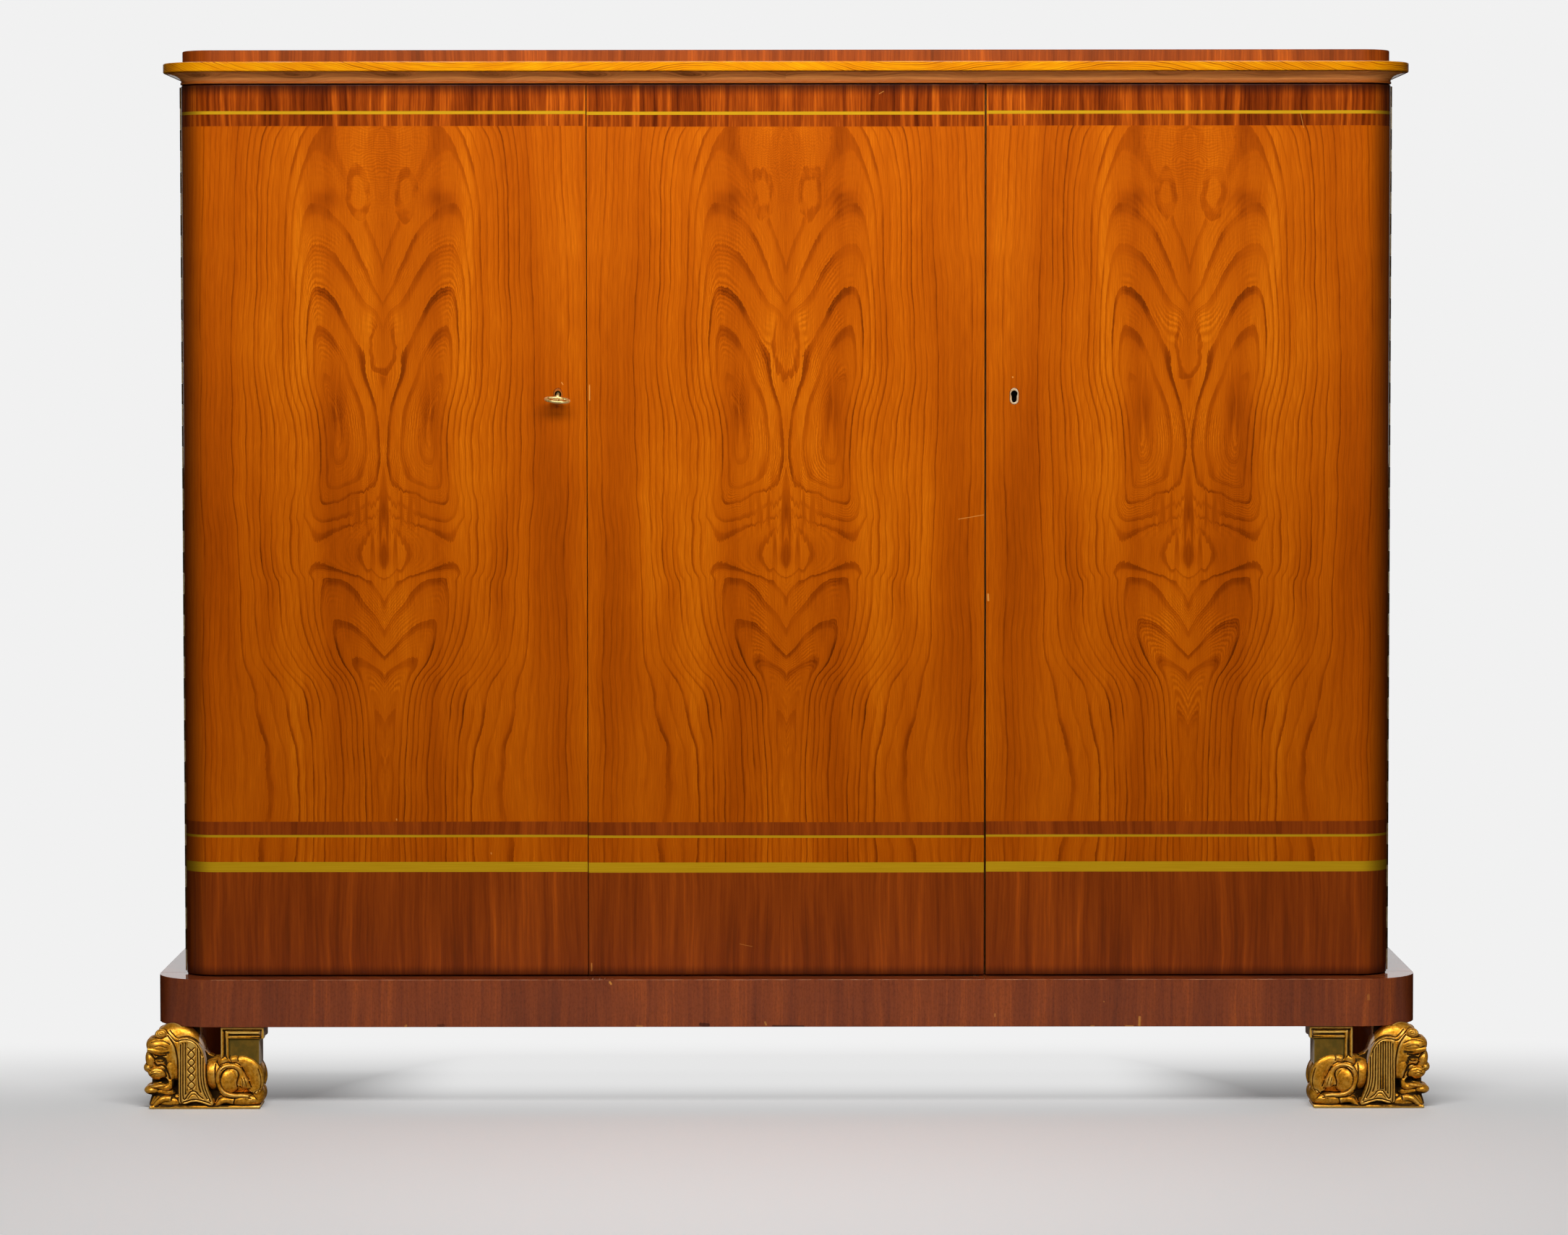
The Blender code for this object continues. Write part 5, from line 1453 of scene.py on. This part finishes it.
FACE_LINES = [
    ([(16.5, 64), (20, 60.5), (26, 61.5), (31, 59), (35.5, 51), (38, 43)], 1.7, 3.4),
    ([(11, 47.5), (17, 49.5), (22, 48.4)], 0.6, 0.8),
    ([(12, 51), (18, 53.4), (24, 52.6)], 0.6, 0.8),
    ([(21.5, 57), (26, 56), (30.5, 52)], 0.6, 0.7),
    ([(3, 55.0), (8, 54.6), (12, 52.6)], 0.7, 0.9),
    ([(9.5, 78.4), (13.6, 74), (17.2, 69.5)], 1.2, 2.2),
    ([(17, 75.0), (25, 74.2), (33, 75.6)], 1.2, 2.4),
    ([(20.6, 66.6), (26, 66.0), (31, 68.6)], 0.7, 1.1),
    ([(12, 93), (20, 96), (29, 95.5), (38, 91)], 0.8, 0.8),
    ([(17, 87), (25, 88.5), (34, 86)], 0.8, 0.7),
    ([(19, 100.5), (23, 99), (28, 99.5), (33.5, 102)], 0.9, 1.5),
    ([(20.2, 106), (23, 109.6), (28, 110.2), (32.5, 107), (31.5, 102.6), (26, 101.2), (21, 103),
      (20.2, 106)], 0.5, 0.7),
    ([(24, 106.4), (27.5, 107), (29, 104.6), (25.6, 104), (24, 106.4)], 0.5, 0.6),
]
BODY_LINES = [
    ([(101, 62), (100.6, 50), (101.6, 38), (104, 28)], 1.0, 1.4),
    ([(108.2, 62.4), (112, 63.6), (118, 65.6), (123, 64.8), (130, 64.6), (136, 61.4)], 0.9, 1.6),
    ([(109.5, 54), (115, 57.6), (121, 57.4), (128, 56), (132.4, 52), (133.2, 46), (131, 38),
      (131.4, 31)], 0.9, 1.9),
    ([(107.4, 48), (107.6, 40), (109.4, 32), (114, 26), (121, 22.6), (130, 21.4), (140, 22.6)], 0.7, 1.0),
    ([(138.6, 58), (142, 51), (145.4, 44), (149, 36), (151, 31)], 0.9, 1.8),
    ([(137.6, 43), (139.4, 37), (139, 31.4)], 0.6, 1.1),
    ([(141.4, 44), (143.4, 38), (144.6, 32.4)], 0.6, 1.1),
    ([(160.8, 56), (164.2, 44), (164, 32), (160.6, 24)], 0.8, 1.2),
    ([(146, 17.2), (152, 19.6), (157, 24.6), (163, 27)], 0.8, 1.4),
    ([(104.6, 21), (114, 17), (126, 15.6), (140, 16.4), (150, 15)], 0.9, 1.6),
    ([(123.6, 66.6), (121.6, 70), (121.6, 75)], 0.8, 1.4),
    ([(133, 66.6), (132.4, 70), (133.4, 74)], 0.8, 1.2),
]


def drawn(points, steps=10):
    """A smooth line through the points: each stretch is a Catmull-Rom curve."""
    spots = np.array([points[0], *points, points[-1]], float)
    line = []
    for start in range(len(points) - 1):
        a, b, c, d = spots[start : start + 4]
        for share in np.arange(steps) / steps:
            bend = (2 * a - 5 * b + 4 * c - d) * share**2 + (3 * b - a - 3 * c + d) * share**3
            line.append(0.5 * (2 * b + (c - a) * share + bend))
    line.append(spots[-1])
    return np.array(line)


def read_points(mesh, what):
    """The places or the directions of all vertices, as rows of three numbers."""
    values = np.empty(len(mesh.vertices) * 3)
    mesh.vertices.foreach_get(what, values)
    return values.reshape(-1, 3)


def carve(thing, lines):
    """Presses grooves into both broad faces. A groove is (points, half width, depth)."""
    spots = read_points(thing.data, "co")
    normals = read_points(thing.data, "normal")
    corner = np.array(on_lion(0, 0, 0))
    flat = (spots - corner)[:, [0, 2]] / MM
    deep = (spots - corner)[:, 1] / MM
    facing = np.clip((np.abs(normals[:, 1]) - 0.08) / 0.25, 0, 1)
    cut = np.zeros(len(spots))
    for points, half, depth in lines:
        line = drawn(points)
        low, high = line.min(0) - 2 * half, line.max(0) + 2 * half
        near = np.where(np.all((flat > low) & (flat < high), axis=1))[0]
        far = np.full(len(near), 1e9)
        for a, b in zip(line[:-1], line[1:]):
            run = b - a
            share = np.clip(((flat[near] - a) @ run) / max(run @ run, 1e-9), 0, 1)
            away = np.linalg.norm(flat[near] - a - share[:, None] * run, axis=1)
            far = np.minimum(far, away)
        groove = depth * np.exp(-((far / half) ** 2) * 1.4)
        cut[near] = np.maximum(cut[near], groove)
    inward = np.where(deep < LION_MIDDLE, 1.0, -1.0)
    spots[:, 1] += inward * cut * facing * MM
    thing.data.vertices.foreach_set("co", spots.ravel())
    thing.data.update()
    print(thing.name, "carved with", len(lines), "lines, deepest", round(float(cut.max()), 1), "mm")


# %% Where gold wears, dirt settles and shade is painted
def note_recesses(thing, rounds=14):
    """Writes how deep each point lies below its smoothed surroundings, with dirt and painted shade added,
    for the gilding to read.
    """
    mesh = thing.data
    spots = read_points(mesh, "co")
    normals = read_points(mesh, "normal")
    count = len(spots)
    ends = np.empty(len(mesh.edges) * 2, int)
    mesh.edges.foreach_get("vertices", ends)
    ends = ends.reshape(-1, 2)
    friends = np.bincount(ends.ravel(), minlength=count)[:, None]
    smooth = spots.copy()
    for _ in range(rounds):
        total = np.zeros_like(smooth)
        for axis in range(3):
            total[:, axis] = np.bincount(ends[:, 0], smooth[ends[:, 1], axis], count)
            total[:, axis] += np.bincount(ends[:, 1], smooth[ends[:, 0], axis], count)
        smooth = 0.5 * smooth + 0.5 * total / np.maximum(friends, 1)
    depth = np.einsum("ij,ij->i", smooth - spots, normals) / MM
    inward, back, up = ((spots - np.array(on_lion(0, 0, 0))) / MM).T
    back = np.minimum(back, LION_DEEP - back)
    facing = np.abs(normals[:, 1]) > 0.5
    # painted shade: faces set back more than 12 mm behind either broad face count as deeper, and so come
    # out darker
    depth += 0.5 * np.clip((back - 12) / 8, 0, 1) * facing
    panel = (inward > 119.5) & (inward < 163) & (up > 60) & (up < 98.6) & (back > 6.4) & facing
    # the listed spots of dirt and painted shade are added
    for aside, height, wide, tall, amount in SOOT_AND_SHADE:
        depth += amount * np.exp(-(((inward - aside) / wide) ** 2 + ((up - height) / tall) ** 2) * 1.5)
    side = np.clip((np.abs(normals[:, 0]) - 0.6) / 0.2, 0, 1) * (up > 62) * (back > 4)
    side *= ((inward > 78) & (inward < 102)) | (inward > 161)
    for label, values in (("recess", depth), ("bare", side), ("panel", panel * 1.0)):
        layer = mesh.attributes.new(label, "FLOAT", "POINT")
        layer.data.foreach_set("value", values)
    print(thing.name, "recess from", round(float(depth.min()), 2), "to", round(float(depth.max()), 2), "mm")


# %% Two lions from one block
LION_FACES = 0.48


def thin_out(thing):
    """Fewer faces where the skin is plain."""
    modify(thing, "DECIMATE", ratio=LION_FACES)
    bpy.ops.object.shade_smooth()


def make_lions():
    """Both lions are carved from one rough form. Their headcloths differ: a lattice left, flutes right."""
    left = melt("lion_left_carved")
    pick(left)
    bpy.ops.object.duplicate()
    right = bpy.context.object
    right.name = "lion_right_carved"
    shared = HEADCLOTH_LINES + LAPPET_EDGES + FACE_LINES + BODY_LINES
    carve(left, shared + LATTICE_LINES)
    carve(right, shared + FLUTE_LINES)
    for lion in (left, right):
        thin_out(lion)
        note_recesses(lion)
    for vertex in right.data.vertices:
        vertex.co.x = -vertex.co.x
    with editing(right):
        bpy.ops.mesh.flip_normals()
    for lion, node in ((left, "lion_foot_left"), (right, "lion_foot_right")):
        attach(lion, "case")
        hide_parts(node)
        dress(lion, gilt)
        print(lion.name, len(lion.data.polygons), "faces")


make_lions()

# %% Two small lamps that light the gilding alone
for word, side in (("left", -1), ("right", 1)):
    place = (1.6 * side, -1.7, 1.0)
    aim = (0.82 * side, -0.2, 0.06)
    lamp = softbox(f"gilding_lamp_{word}", place, aim, (0.7, 0.5), 15)
    light_only(lamp, [f"lion_{word}_carved"])

# %% The end: the view transform
bpy.context.scene.view_settings.view_transform = "Standard"
